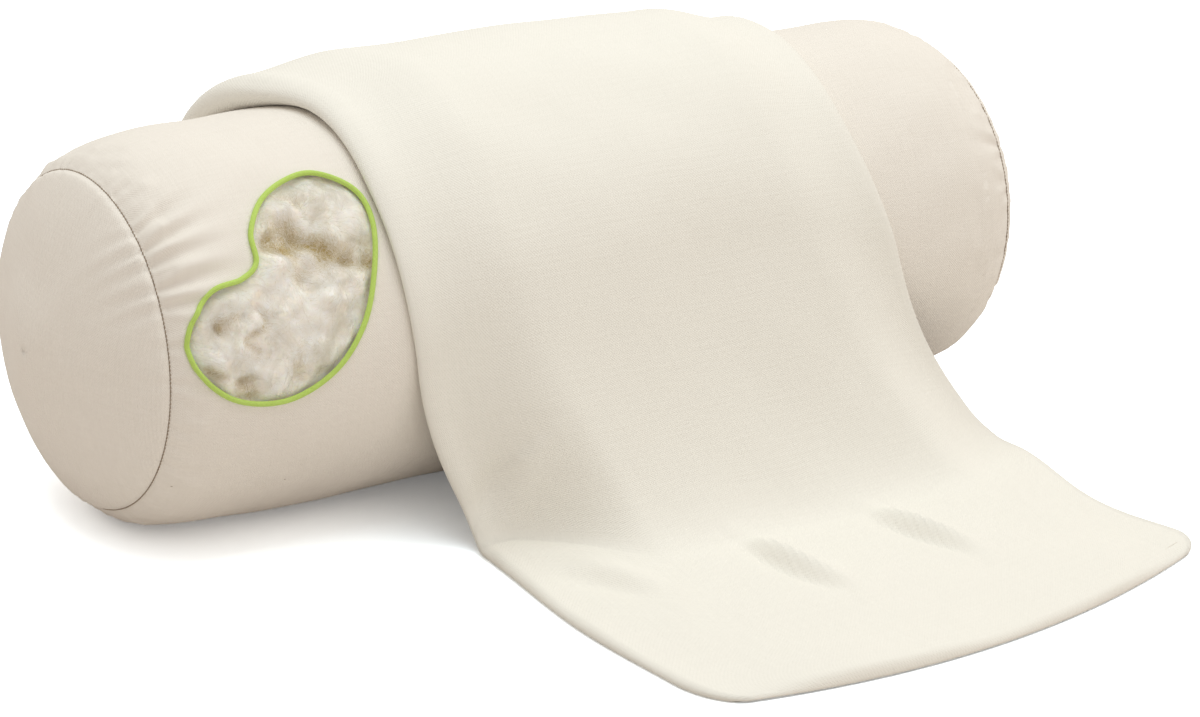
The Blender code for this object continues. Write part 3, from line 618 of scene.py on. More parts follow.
def stuff_cloth():
    """Blows the panel up from inside, held at both seams, and gives how far each point moves."""
    grid_x, grid_angle = np.meshgrid(STUFFED_X, STUFFED_ANGLE, indexing="ij")
    plain = barrel_radius(grid_x)
    flat = np.zeros((len(STUFFED_X), len(STUFFED_ANGLE) + 1, 2))
    panel, _ = sheet_of("stuffed_panel", round_axis(grid_x, grid_angle, plain, -1.0), None, flat, True)
    seams = panel.vertex_groups.new(name="seams")
    count = len(STUFFED_ANGLE)
    total = grid_x.size
    seams.add([*range(count), *range(total - count, total)], 1.0, "REPLACE")
    cloth = panel.modifiers.new("stuffed", "CLOTH").settings
    cloth.quality = STUFFED_QUALITY
    cloth.mass = STUFFED_POINT_MASS
    cloth.bending_stiffness = STUFFED_BENDING
    cloth.shrink_min = -STUFFED_EASE
    cloth.use_pressure = True
    cloth.uniform_pressure_force = STUFFED_PRESSURE
    cloth.effector_weights.gravity = 0.0
    cloth.vertex_group_mass = "seams"
    for step in range(1, STUFFED_FRAMES + 1):
        bpy.context.scene.frame_set(step)
    blown = panel.evaluated_get(bpy.context.evaluated_depsgraph_get()).to_mesh()
    spots = np.empty(total * 3)
    blown.vertices.foreach_get("co", spots)
    bpy.data.objects.remove(panel)
    bpy.context.scene.frame_set(1)
    spots = spots.reshape(*grid_x.shape, 3)
    moved = np.hypot(spots[..., 1], spots[..., 2] - AXIS_HEIGHT) - plain
    uneven = moved - moved.mean(axis=1, keepdims=True)
    return np.clip(uneven, STUFFED_LEAST, STUFFED_MOST)


def stuffed_height(x, angle):
    """How far the stuffed cloth has moved at any x and angle, between the simulated points."""
    x, angle = np.broadcast_arrays(x, angle)
    row = np.clip(np.interp(x, STUFFED_X, np.arange(len(STUFFED_X))), 0, len(STUFFED_X) - 1.001)
    column = (angle / (2 * math.pi) % 1) * len(STUFFED_ANGLE)
    low_row, low_column = row.astype(int), column.astype(int) % len(STUFFED_ANGLE)
    next_column = (low_column + 1) % len(STUFFED_ANGLE)
    down, along = row - low_row, column % 1
    upper = stuffed[low_row, low_column] * (1 - along) + stuffed[low_row, next_column] * along
    lower = stuffed[low_row + 1, low_column] * (1 - along) + stuffed[low_row + 1, next_column] * along
    return upper * (1 - down) + lower * down


def barrel_height(x, angle):
    """How far the stuffed cloth stands off the barrel's plain form."""
    spot = round_axis(x, angle, BARREL_RADIUS, -1.0)
    settled = np.clip((HALF_SEAM - np.abs(x)) / 0.02, 0, 1)
    soft = 0.0007 * soft_waves(spot, 0.12, 41) + 0.0003 * soft_waves(spot, 0.045, 42)
    gathered = puckers(HALF_SEAM - x, angle, 1) + puckers(HALF_SEAM + x, angle, -1)
    return settled * soft + gathered + stuffed_height(x, angle)


stuffed = stuff_cloth()


def cut_opening(points, x, way, outline, keep, place):
    """Drops the cloth inside an outline, and draws the cut edge onto that outline."""
    inside = inside_outline(x, way, outline)
    following = np.roll(inside, -1, axis=1)
    filled = inside[:-1].astype(int) + inside[1:] + following[:-1] + following[1:]
    gone = filled >= 2
    keep &= ~gone
    dropped = np.zeros(inside.shape, bool)
    kept = np.zeros(inside.shape, bool)
    for shift_row in (0, 1):
        for shift_column in (0, 1):
            rows = slice(shift_row, shift_row + gone.shape[0])
            dropped[rows] |= np.roll(gone, shift_column, axis=1)
            kept[rows] |= np.roll(~gone, shift_column, axis=1)
    for row, column in zip(*np.nonzero(dropped & kept)):
        spot = np.array([x[row, column], way[row, column]])
        nearest = outline[np.argmin(((outline - spot) ** 2).sum(axis=1))]
        points[row, column] = place(*nearest)


def make_barrel():
    x = barrel_stations()
    angle = np.linspace(0, 2 * math.pi, BARREL_COLUMNS, endpoint=False) - math.pi / 2
    grid_x, grid_angle = np.meshgrid(x, angle, indexing="ij")
    radius = barrel_radius(grid_x) + barrel_height(grid_x, grid_angle)
    points = round_axis(grid_x, grid_angle, radius)
    keep = np.ones((len(x) - 1, BARREL_COLUMNS), bool)

    def on_panel(spot_x, spot_way):
        turn = spot_way / BARREL_RADIUS
        reach = barrel_radius(spot_x) + float(barrel_height(np.array([spot_x]), np.array([turn]))[0])
        return round_axis(spot_x, turn, reach)

    fine_window = np.array(smooth_loop(KIDNEY, 60))
    fine_window = fine_window * (WINDOW_LENGTH, WINDOW_HEIGHT) + (WINDOW_LEFT, WINDOW_BASE)
    cut_opening(points, grid_x, grid_angle * BARREL_RADIUS, fine_window, keep, on_panel)
    cut_opening(points, grid_x, grid_angle * BARREL_RADIUS, zip_slot(), keep, on_panel)
    turned_in = points[[0, -1]].copy()
    drop = (SEAM_RADIUS - SEAM_ALLOWANCE) / barrel_radius(HALF_SEAM)
    turned_in[..., 1] *= drop
    turned_in[..., 2] = AXIS_HEIGHT + (turned_in[..., 2] - AXIS_HEIGHT) * drop
    points = np.concatenate([turned_in[:1], points, turned_in[1:]])
    keep = np.pad(keep, ((1, 1), (0, 0)), constant_values=True)
    cloth_x = np.concatenate([[x[0] - SEAM_ALLOWANCE], x, [x[-1] + SEAM_ALLOWANCE]])
    cloth_way = np.append(angle, angle[0] + 2 * math.pi) * BARREL_RADIUS
    flat = np.stack(np.meshgrid(cloth_way, cloth_x), axis=-1)
    cotton = cotton_cloth("natural_cotton", COTTON_PALE, COTTON_DEEP, WARP_PER_METRE, 0.5, 0.0005, 0.7)
    panel, _ = sheet_of("casing_barrel_panel", points, cotton, flat, True, keep)
    wall = panel.modifiers.new("cloth thickness", "SOLIDIFY")
    wall.thickness = CASING_WALL
    wall.offset = -1
    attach(panel, "bolster")
    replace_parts(panel, "casing_barrel")


def zip_slot():
    """Outline of the slot for the filling zip, as x and way round the barrel."""
    half = ZIP_SLOT_REACH
    way = math.radians(90 + ZIP_BEHIND_TOP) * BARREL_RADIUS
    edge = ZIP_SLOT / 2
    along = np.linspace(-half, half, 600)
    down = np.linspace(way + edge, way - edge, 24)
    top = np.stack([along, np.full(600, way + edge)], axis=-1)
    right = np.stack([np.full(24, half), down], axis=-1)
    return np.concatenate([top, right, top[::-1] - (0, ZIP_SLOT), right[::-1] - (2 * half, 0)])


make_barrel()


# ---------------------------------------------------------------- end panels of the casing
# A round of ribbed cotton in each end, domed by the filling behind it. Its edge is eased into the
# seam, so small tucks run inwards from the stitching.

END_COLUMNS = 220
END_ROWS = 44
END_PALE = (0.895, 0.855, 0.795)
END_DEEP = (0.865, 0.822, 0.76)
RIB_PITCH = 0.0022


def ribbed_cotton():
    """The end panels' cotton: the same weave, with fine ribs down the cloth."""
    made = cotton_cloth("ribbed_cotton", END_PALE, END_DEEP, WARP_PER_METRE, 0.45, 0.0005, 0.5)
    tree = made.node_tree
    cloth = next(item for item in tree.nodes if item.bl_idname == "ShaderNodeUVMap")
    bump = next(item for item in tree.nodes if item.bl_idname == "ShaderNodeBump")
    split = add_node(tree, "SeparateXYZ", {0: cloth.outputs["UV"]})
    turned = add_node(tree, "Math", {0: split.outputs["X"], 1: 2 * math.pi / RIB_PITCH}, operation="MULTIPLY")
    rib = add_node(tree, "Math", {0: turned.outputs[0]}, operation="SINE")
    ribs = add_node(tree, "Bump", {
        "Height": rib.outputs[0], "Strength": 0.25, "Distance": 0.0003, "Normal": bump.outputs["Normal"],
    })
    tree.links.new(ribs.outputs["Normal"], tree.nodes["Principled BSDF"].inputs["Normal"])
    return made


def make_end(side, name, cotton):
    slope = np.linspace(0, math.pi / 2, END_ROWS)
    radius = SEAM_RADIUS * np.cos(slope) ** 0.85
    radius[-1] = SEAM_RADIUS * 0.004
    rise = DOME_RISE * (1 - (radius / SEAM_RADIUS) ** DOME_POWER) ** (1 / DOME_POWER)
    angle = np.linspace(0, 2 * math.pi, END_COLUMNS, endpoint=False)
    grid_radius, grid_angle = np.meshgrid(radius, angle, indexing="ij")
    grid_rise = np.repeat(rise[:, None], END_COLUMNS, axis=1)
    from_seam = SEAM_RADIUS - grid_radius + grid_rise * 0.6
    tucks = 0.7 * puckers(from_seam, grid_angle, side)
    spot = np.stack([grid_rise, grid_radius * np.cos(grid_angle), grid_radius * np.sin(grid_angle)], axis=-1)
    soft = 0.0009 * soft_waves(spot, 0.085, 51 + side) + 0.0004 * soft_waves(spot, 0.035, 53 + side)
    soft *= np.clip(from_seam / 0.025, 0, 1)
    dip = SEAM_DIP * np.exp(-((from_seam * 1.2 / SEAM_DIP_WIDTH) ** 2))
    lean_out = 1 - grid_rise / DOME_RISE
    grid_radius = np.maximum(grid_radius - dip + (tucks + soft) * lean_out, SEAM_RADIUS * 0.002)
    out = HALF_SEAM + 0.0004 + grid_rise + (tucks + soft) * (1 - lean_out)
    points = round_axis(side * out, grid_angle, grid_radius)
    flange = points[:1].copy()
    drop = (SEAM_RADIUS - SEAM_ALLOWANCE) / (SEAM_RADIUS - SEAM_DIP)
    flange[..., 1] *= drop
    flange[..., 2] = AXIS_HEIGHT + (flange[..., 2] - AXIS_HEIGHT) * drop
    points = np.concatenate([flange, points])
    run = np.concatenate([[SEAM_RADIUS + SEAM_ALLOWANCE], SEAM_RADIUS - from_seam[:, 0] * 0.8])
    turn = np.append(angle, 2 * math.pi)
    flat = np.stack([run[:, None] * np.cos(turn), run[:, None] * np.sin(turn)], axis=-1)
    if side < 0:
        points, flat = points[::-1], flat[::-1]
    panel, _ = sheet_of(name, points, cotton, flat, closed=True)
    wall = panel.modifiers.new("cloth thickness", "SOLIDIFY")
    wall.thickness = CASING_WALL
    wall.offset = -1
    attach(panel, "bolster")
    return panel


ribbed = ribbed_cotton()
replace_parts(make_end(-1, "casing_end_panel_left", ribbed), "casing_end_left")
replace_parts(make_end(1, "casing_end_panel_right", ribbed), "casing_end_right")


# ---------------------------------------------------------------- seam threads
# The seams are closed with one row of lockstitch. Each short stitch of brown-beige thread lies in
# the dip between the two panels and dives into the cloth at both its ends.

STITCH_PITCH = 0.0021
STITCH_LENGTH = 0.0017
THREAD_RADIUS = 0.00032
THREAD_COLOUR = (0.40, 0.31, 0.23)


def thread_material():
    made, tree, shader = new_material("sewing_thread")
    place = add_node(tree, "TexCoord")
    twist = add_node(tree, "TexWave", {
        "Vector": place.outputs["Object"], "Scale": 900.0, "Distortion": 2.0,
    }, bands_direction="DIAGONAL")
    shadow = tuple(value * 0.6 for value in THREAD_COLOUR)
    tone = add_node(tree, "Mix", {
        "Factor": twist.outputs["Fac"], "A": (*shadow, 1), "B": (*THREAD_COLOUR, 1),
    }, data_type="RGBA")
    tree.links.new(tone.outputs["Result"], shader.inputs["Base Color"])
    shader.inputs["Roughness"].default_value = 0.7
    return made


def make_stitches(side, name, thread):
    ring = SEAM_RADIUS - SEAM_DIP + THREAD_RADIUS * 0.6
    count = round(2 * math.pi * ring / STITCH_PITCH)
    middle = np.arange(count)[:, None] * 2 * math.pi / count
    share = np.linspace(-0.5, 0.5, 5)
    angle = middle + share * STITCH_LENGTH / ring
    height = THREAD_RADIUS * 1.6 * np.cos(share * math.pi) - THREAD_RADIUS * 1.2
    lean = share * THREAD_RADIUS * 0.8
    x = side * (HALF_SEAM + 0.0002) + np.broadcast_to(lean, angle.shape)
    paths = round_axis(x, angle, ring + height, FLOOR_GAP + THREAD_RADIUS)
    out = np.stack([np.zeros_like(angle), -np.cos(angle), np.sin(angle)], axis=-1)
    taper = THREAD_RADIUS * np.array([0.6, 0.95, 1.0, 0.95, 0.6])
    stitches = rods(name, paths, out, np.broadcast_to(taper, angle.shape), 6, thread)
    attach(stitches, "bolster")
    return stitches


thread = thread_material()
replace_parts(make_stitches(-1, "seam_stitches_left", thread), "seam_thread_left")
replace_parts(make_stitches(1, "seam_stitches_right", thread), "seam_thread_right")


# ---------------------------------------------------------------- window binding
# The window's cut edge is finished with a narrow bias binding of lime cotton, folded over the
# edge so that it stands slightly proud of the casing on both faces.

BINDING_RADIUS = 0.00135
BINDING_PROUD = 0.0005
BINDING_SIDES = 12
LIME_PALE = (0.56, 0.76, 0.19)
LIME_DEEP = (0.46, 0.65, 0.13)


def make_binding():
    outline = np.array(smooth_loop(KIDNEY, 14)) * (WINDOW_LENGTH, WINDOW_HEIGHT) + (WINDOW_LEFT, WINDOW_BASE)
    x, angle = outline[:, 0], outline[:, 1] / BARREL_RADIUS
    middle = round_axis(x, angle, barrel_radius(x) + barrel_height(x, angle) + BINDING_PROUD)
    out = np.stack([np.zeros_like(angle), -np.cos(angle), np.sin(angle)], axis=-1)
    along = np.roll(middle, -1, axis=0) - np.roll(middle, 1, axis=0)
    along /= np.linalg.norm(along, axis=1, keepdims=True)
    across = np.cross(along, out)
    turn = np.arange(BINDING_SIDES) * 2 * math.pi / BINDING_SIDES
    ring = np.cos(turn)[:, None] * across[:, None] + np.sin(turn)[:, None] * out[:, None]
    points = middle[:, None] + BINDING_RADIUS * ring
    around = np.concatenate([points, points[:1]])
    steps = np.linalg.norm(np.diff(around[:, 0], axis=0), axis=1)
    run = np.concatenate([[0], np.cumsum(steps)])
    girth = np.linspace(0, 2 * math.pi * BINDING_RADIUS, BINDING_SIDES + 1)
    flat = np.stack([run[:, None] + girth[None, :], run[:, None] - girth[None, :]], axis=-1)
    lime = cotton_cloth("lime_binding", LIME_PALE, LIME_DEEP, 2200.0, 0.3, 0.0002)
    index = np.arange(len(points) * BINDING_SIDES).reshape(len(points), BINDING_SIDES)
    index = np.concatenate([index, index[:1]])
    index = np.concatenate([index, index[:, :1]], axis=1)
    corners = np.stack([index[:-1, :-1], index[:-1, 1:], index[1:, 1:], index[1:, :-1]], axis=-1)
    cloth = np.stack([flat[:-1, :-1], flat[:-1, 1:], flat[1:, 1:], flat[1:, :-1]], axis=2)
    mesh = bpy.data.meshes.new("window_bias_binding")
    mesh.from_pydata(points.reshape(-1, 3).tolist(), [], corners.reshape(-1, 4).tolist())
    mesh.uv_layers.new(name="cloth").data.foreach_set("uv", cloth.reshape(-1).astype(np.float32))
    mesh.shade_smooth()
    mesh.materials.append(lime)
    binding = bpy.data.objects.new("window_bias_binding", mesh)
    bpy.context.scene.collection.objects.link(binding)
    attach(binding, "bolster")
    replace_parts(binding, "window_binding")


make_binding()


# ---------------------------------------------------------------- zips
# A coil zip: two woven tapes, a nylon coil sewn along each, a metal stop at both ends, and a
# slider with a flat pull. One closes the filling's slot, and one the case's mouth.

COIL_RADIUS = 0.00075
COIL_WIRE = 0.00022
COIL_PITCH = 0.0013
TAPE_WALL = 0.0005
TAPE_COLOUR = (0.80, 0.76, 0.68)
TAPE_SHADE = (0.68, 0.63, 0.55)


def coil_material():
    made, tree, shader = new_material("zip_coil_nylon")
    place = add_node(tree, "TexCoord")
    haze = add_node(tree, "TexNoise", {"Vector": place.outputs["Object"], "Scale": 300.0})
    tone = add_node(tree, "Mix", {
        "Factor": haze.outputs["Fac"], "A": (0.70, 0.66, 0.58, 1), "B": (0.82, 0.79, 0.72, 1),
    }, data_type="RGBA")
    tree.links.new(tone.outputs["Result"], shader.inputs["Base Color"])
    shader.inputs["Roughness"].default_value = 0.35
    return made


def metal_material():
    """Brushed nickel with fine scuffs from use."""
    made, tree, shader = new_material("zip_nickel")
    place = add_node(tree, "TexCoord")
    pulled = add_node(tree, "VectorMath", {
        0: place.outputs["Object"], 1: (120.0, 1800.0, 1800.0),
    }, operation="MULTIPLY")
    scuffs = add_node(tree, "TexNoise", {"Vector": pulled.outputs["Vector"], "Scale": 1.0, "Detail": 3.0})
    rough = add_node(tree, "MapRange", {
        "Value": scuffs.outputs["Fac"], "From Min": 0.3, "From Max": 0.7, "To Min": 0.26, "To Max": 0.46,
    })
    tone = add_node(tree, "Mix", {
        "Factor": scuffs.outputs["Fac"], "A": (0.55, 0.51, 0.44, 1), "B": (0.70, 0.67, 0.60, 1),
    }, data_type="RGBA")
    tree.links.new(tone.outputs["Result"], shader.inputs["Base Color"])
    tree.links.new(rough.outputs["Result"], shader.inputs["Roughness"])
    shader.inputs["Metallic"].default_value = 1.0
    bump = add_node(tree, "Bump", {"Height": scuffs.outputs["Fac"], "Strength": 0.15, "Distance": 0.0001})
    tree.links.new(bump.outputs["Normal"], shader.inputs["Normal"])
    return made


nylon = coil_material()
nickel = metal_material()
zip_tape = cotton_cloth("zip_tape_weave", TAPE_COLOUR, TAPE_SHADE, 2600.0, 0.35, 0.0003)


def node_frame(prefix):
    """A zip's directions, read from its packed coils: middle, along, across and out."""
    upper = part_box(prefix + "_coil_upper")
    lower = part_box(prefix + "_coil_lower")
    upper_middle = (upper[0] + upper[1]) / 2
    lower_middle = (lower[0] + lower[1]) / 2
    middle = (upper_middle + lower_middle) / 2
    along = Vector((1, 0, 0))
    across = (lower_middle - upper_middle).normalized()
    out = along.cross(across)
    return np.array(middle), np.array(along), np.array(across), np.array(out)


def make_coil(prefix, word, side, body):
    middle, along, across, out = node_frame(prefix)
    low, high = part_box(f"{prefix}_coil_{word}")
    first, last = low.x + COIL_WIRE, high.x - COIL_WIRE
    turns = int((last - first) / COIL_PITCH)
    steps = turns * 10
    turn = np.linspace(0, turns * 2 * math.pi, steps)
    reach = COIL_RADIUS - COIL_WIRE
    centre = middle + side * (COIL_RADIUS + 0.0002) * across
    path = centre + side * reach * np.cos(turn)[:, None] * across + reach * np.sin(turn)[:, None] * out
    path[:, 0] = np.linspace(first, last, steps) + 0.25 * COIL_PITCH * np.sin(2 * turn)
    coil = rods(f"{prefix}_teeth_{word}", path[None], along, COIL_WIRE, 5, nylon)
    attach(coil, body)
    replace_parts(coil, f"{prefix}_coil_{word}")


def make_tape(prefix, word, body):
    """A tape woven flat, in the place of its packed strip, with a faint ripple along it."""
    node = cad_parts[f"{prefix}_tape_{word}"]
    middle, along, across, out = node_frame(prefix)
    spots = np.array([vert.co for vert in node.data.vertices]) - middle
    low_across, high_across = (spots @ across).min(), (spots @ across).max()
    top = (spots @ out).max()
    x = np.linspace(spots[:, 0].min(), spots[:, 0].max(), 160)
    way = np.linspace(low_across, high_across, 9)
    grid_x, grid_way = np.meshgrid(x, way, indexing="ij")
    ripple = 0.00008 * np.sin(grid_x * 2 * math.pi / 0.021 + way[0] * 900)
    points = (middle + grid_x[..., None] * along + grid_way[..., None] * across
              + (top - 0.0001 + ripple)[..., None] * out)
    flat = np.stack([grid_x, grid_way], axis=-1)
    tape, _ = sheet_of(f"{prefix}_woven_tape_{word}", points, zip_tape, flat)
    wall = tape.modifiers.new("tape thickness", "SOLIDIFY")
    wall.thickness = TAPE_WALL - 0.0001
    wall.offset = -1
    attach(tape, body)
    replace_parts(tape, f"{prefix}_tape_{word}")


def finish_metal(node_name):
    """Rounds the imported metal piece's edges and gives it the nickel finish."""
    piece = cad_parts[node_name]
    for spot in piece.material_slots:
        spot.material = nickel
    edge = piece.modifiers.new("rounded edges", "BEVEL")
    edge.width = 0.0002
    edge.segments = 2
    edge.limit_method = "ANGLE"


def make_zip(prefix, body):
    for side, word in ((-1, "upper"), (1, "lower")):
        make_coil(prefix, word, side, body)
        make_tape(prefix, word, body)
    for part in ("stop_left", "stop_right", "slider", "pull"):
        finish_metal(f"{prefix}_{part}")


make_zip("filling_zip", "bolster")
make_zip("case_zip", "case")


# ---------------------------------------------------------------- case
# The removable case is a tube of fine ivory jersey, closed by a round panel at each end. Empty,
# it lies flat in two layers over the bolster and runs out along the floor in front.

CASE_WALL = 0.0008
CASE_BACK_ANGLE = 58.0
CASE_CLEARANCE = 0.0008
CASE_FRONT_REACH = 0.329
CASE_FRONT_BOW = 0.95
CASE_FRONT_CENTRE = 0.020
CASE_CORNER = 0.020
ROLL_STEPS = 7
FRONT_ROLL = 0.004
SHUT_HEIGHT = 0.0003
LEAST_HEIGHT = 0.0018
LOWER_SHORT = 0.0016
LAYER_COLUMNS = 104
CASE_ROW_STEP = 0.0030
CASE_FLAT = (0.660, 0.568)
CASE_PALE = (0.885, 0.868, 0.808)
CASE_DEEP = (0.862, 0.845, 0.784)
JERSEY_PER_METRE = 1150.0

# Stations: 0 back end, 1 top of the bolster, 2 its front, 3 landed on the floor, 4 front end.
# Each row: station, left edge, right edge, height in the middle, height of the left and the right
# fold, and how far each fold's roll reaches in from its edge.
CASE_STATIONS = np.array((
    (0.0, -0.161, 0.168, 0.0195, 0.0150, 0.0080, 0.014, 0.012),
    (0.5, -0.157, 0.160, 0.0215, 0.0165, 0.0085, 0.012, 0.012),
    (1.0, -0.1385, 0.152, 0.0185, 0.0080, 0.0080, 0.014, 0.012),
    (1.5, -0.139, 0.150, 0.0130, 0.0055, 0.0065, 0.012, 0.010),
    (2.0, -0.131, 0.172, 0.0100, 0.0045, 0.0055, 0.009, 0.008),
    (2.5, -0.106, 0.207, 0.0090, 0.0040, 0.0050, 0.006, 0.007),
    (3.0, -0.104, 0.228, 0.0075, 0.0040, 0.0045, 0.004, 0.006),
    (3.5, -0.109, 0.220, 0.0060, 0.0036, 0.0036, 0.0035, 0.004),
    (4.0, -0.100, 0.238, 0.0050, 0.0030, 0.0030, 0.0035, 0.004),
))

# The hanging part, at the left edge, across the middle and at the right edge: the angle above
# the front where it leaves the bolster, where it lands, and how long it keeps to each direction
HANG_LEFT = (2.0, 0.128, 0.085, 0.011)
HANG_MIDDLE = (22.0, 0.186, 0.080, 0.040)
HANG_RIGHT = (10.0, 0.150, 0.085, 0.024)

# Folds in the upper layer: points in space, then depth, width, and the ridge beside the valley
CREASES = (
    (((0.010, -0.186, 0.008), (0.014, -0.214, 0.007), (0.026, -0.256, 0.006)), 0.0044, 0.0056, 0.0068),
    (((0.090, -0.186, 0.008), (0.100, -0.214, 0.007), (0.112, -0.252, 0.006)), 0.0040, 0.0050, 0.0062),
    (((-0.090, -0.166, 0.006), (-0.074, -0.195, 0.006), (-0.062, -0.218, 0.006)), 0.0022, 0.0075, 0.0034),
    (((0.221, -0.120, 0.006), (0.222, -0.134, 0.006), (0.221, -0.150, 0.006)), 0.0018, 0.0050, 0.0008),
    (((-0.106, -0.127, 0.010), (-0.090, -0.114, 0.035), (-0.064, -0.105, 0.065)), 0.0045, 0.0080, 0.0030),
    (((-0.141, 0.016, 0.206), (-0.149, 0.034, 0.205), (-0.157, 0.056, 0.203)), 0.0020, 0.0042, 0.0),
    (((-0.106, -0.130, 0.006), (-0.080, -0.146, 0.006), (-0.056, -0.166, 0.006)), -0.0012, 0.0090, 0.0),
)


def eased(station, column):
    """One value of the case at each station, eased between the rows of the stations."""
    rows = CASE_STATIONS[:, column]
    place = np.clip(np.asarray(station, float) * 2, 0, len(rows) - 1)
    index = np.minimum(place.astype(int), len(rows) - 2)
    before, after = rows[np.maximum(index - 1, 0)], rows[np.minimum(index + 2, len(rows) - 1)]
    here, following = rows[index], rows[index + 1]
    t = place - index
    return 0.5 * (2 * here + (following - before) * t
                  + (2 * before - 5 * here + 4 * following - after) * t**2
                  + (3 * here - before - 3 * following + after) * t**3)


def bezier(points, t):
    """A cubic curve through one coordinate's four control values, and its slope."""
    a, b, c, d = points
    value = a * (1 - t) ** 3 + 3 * b * t * (1 - t) ** 2 + 3 * c * t**2 * (1 - t) + d * t**3
    slope = 3 * ((b - a) * (1 - t) ** 2 + 2 * (c - b) * t * (1 - t) + (d - c) * t**2)
    return value, slope


def hanging(share):
    """The four values of the hanging part at each share across the case."""
    from_left = np.clip((share - 0.03) / 0.20, 0, 1)
    from_left = from_left**2 * (3 - 2 * from_left)
    to_right = np.clip((share - 0.80) / 0.20, 0, 1)
    to_right = to_right**2 * (3 - 2 * to_right)
    found = []
    for left, middle, right in zip(HANG_LEFT, HANG_MIDDLE, HANG_RIGHT):
        found.append((left + (middle - left) * from_left) * (1 - to_right) + right * to_right)
    return found


def case_points(station, x, share, height):
    """Points of the case: height is square to the bolster or the floor, share runs 0 to 1 across."""
    radius = BARREL_RADIUS + CASE_CLEARANCE
    floor = CASE_CLEARANCE
    leave, land, keep_down, keep_out = hanging(share)
    leave = np.radians(leave)
    parting = 2 - leave / (math.pi / 2)
    back = math.radians(CASE_BACK_ANGLE) * (1 - station)
    angle = np.where(station < 1, back, -math.pi / 2 * (station - 1))
    reach = radius + height
    over_y, over_z = reach * np.sin(angle), AXIS_HEIGHT + reach * np.cos(angle)
    t = np.clip((station - parting) / (3 - parting), 0, 1)
    start_y, start_z = -radius * np.cos(leave), AXIS_HEIGHT + radius * np.sin(leave)
    ys = (start_y, start_y - keep_down * np.sin(leave), -land + keep_out, -land)
    zs = (start_z, start_z - keep_down * np.cos(leave), floor, floor)
    fall_y, slope_y = bezier(ys, t)
    fall_z, slope_z = bezier(zs, t)
    steep = np.hypot(slope_y, slope_z)
    fall_y, fall_z = fall_y + height * slope_z / steep, fall_z - height * slope_y / steep
    front = -CASE_FRONT_REACH + CASE_FRONT_BOW * (x - CASE_FRONT_CENTRE) ** 2
    lie_y = -land + (front + land) * (station - 3)
    y = np.select([station <= parting, station <= 3], [over_y, fall_y], lie_y)
    z = np.select([station <= parting, station <= 3], [over_z, fall_z], floor + height)
    return np.stack(np.broadcast_arrays(x, y, z), axis=-1)


def case_rows():
    """Stations of the case's rows, evenly spaced along the cloth and closer at the front edge."""
    fine = np.linspace(0, 4, 2001)
    middle = case_points(fine, np.full(2001, 0.02), np.full(2001, 0.5), np.zeros(2001))
    run = np.concatenate([[0], np.cumsum(np.linalg.norm(np.diff(middle, axis=0), axis=1))])
    total = run[-1]
    wanted = np.arange(0, total - 0.016, CASE_ROW_STEP)
    wanted = np.concatenate([wanted, total - 0.015 * (1 - np.sin(np.linspace(0, math.pi / 2, 12)))])
    return np.interp(wanted, run, fine), wanted, total


def corner_inset(left_over):
    """How far the rounding of the front corners has drawn the edges in, this far from the end."""
    share = np.clip(1 - left_over / CASE_CORNER, 0, 1)
    return CASE_CORNER * (1 - np.sqrt(1 - share**2 * 0.999))


def crease_height(points):
    """Height that the folds add: a valley along each path, with a ridge on its right."""
    height = np.zeros(points.shape[:-1])
    for path, depth, width, ridge in CREASES:
        path = smooth_run(np.array(path), 6)
        best = np.full(points.shape[:-1], 1.0)
        offset = np.zeros(points.shape[:-1])
        along_share = np.zeros(points.shape[:-1])
        for index, (a, b) in enumerate(zip(path, path[1:])):
            step = b - a
            t = np.clip(((points - a) @ step) / (step @ step), 0, 1)
            gap = points - a - t[..., None] * step
            distance = np.linalg.norm(gap, axis=-1)
            nearer = distance < best
            best = np.where(nearer, distance, best)
            offset = np.where(nearer, np.sign(gap[..., 0]) * distance, offset)
            along_share = np.where(nearer, (index + t) / (len(path) - 1), along_share)
        fade = np.sin(math.pi * np.clip(along_share, 0.02, 0.98)) ** 0.8
        valley = -depth * np.exp(-((offset / width) ** 2))
        beside = ridge * np.exp(-(((offset - 1.6 * width) / (1.1 * width)) ** 2))
        height += fade * (valley + beside)
    return height


def smooth_run(points, steps):
    """An open smooth curve through the points."""
    padded = np.concatenate([[2 * points[0] - points[1]], points, [2 * points[-1] - points[-2]]])
    curve = []
    for a, b, c, d in zip(padded, padded[1:], padded[2:], padded[3:]):
        for share in np.arange(steps) / steps:
            curve.append(0.5 * (2 * b + (c - a) * share + (2 * a - 5 * b + 4 * c - d) * share**2
                                + (3 * b - a - 3 * c + d) * share**3))
    curve.append(points[-1])
    return np.array(curve)


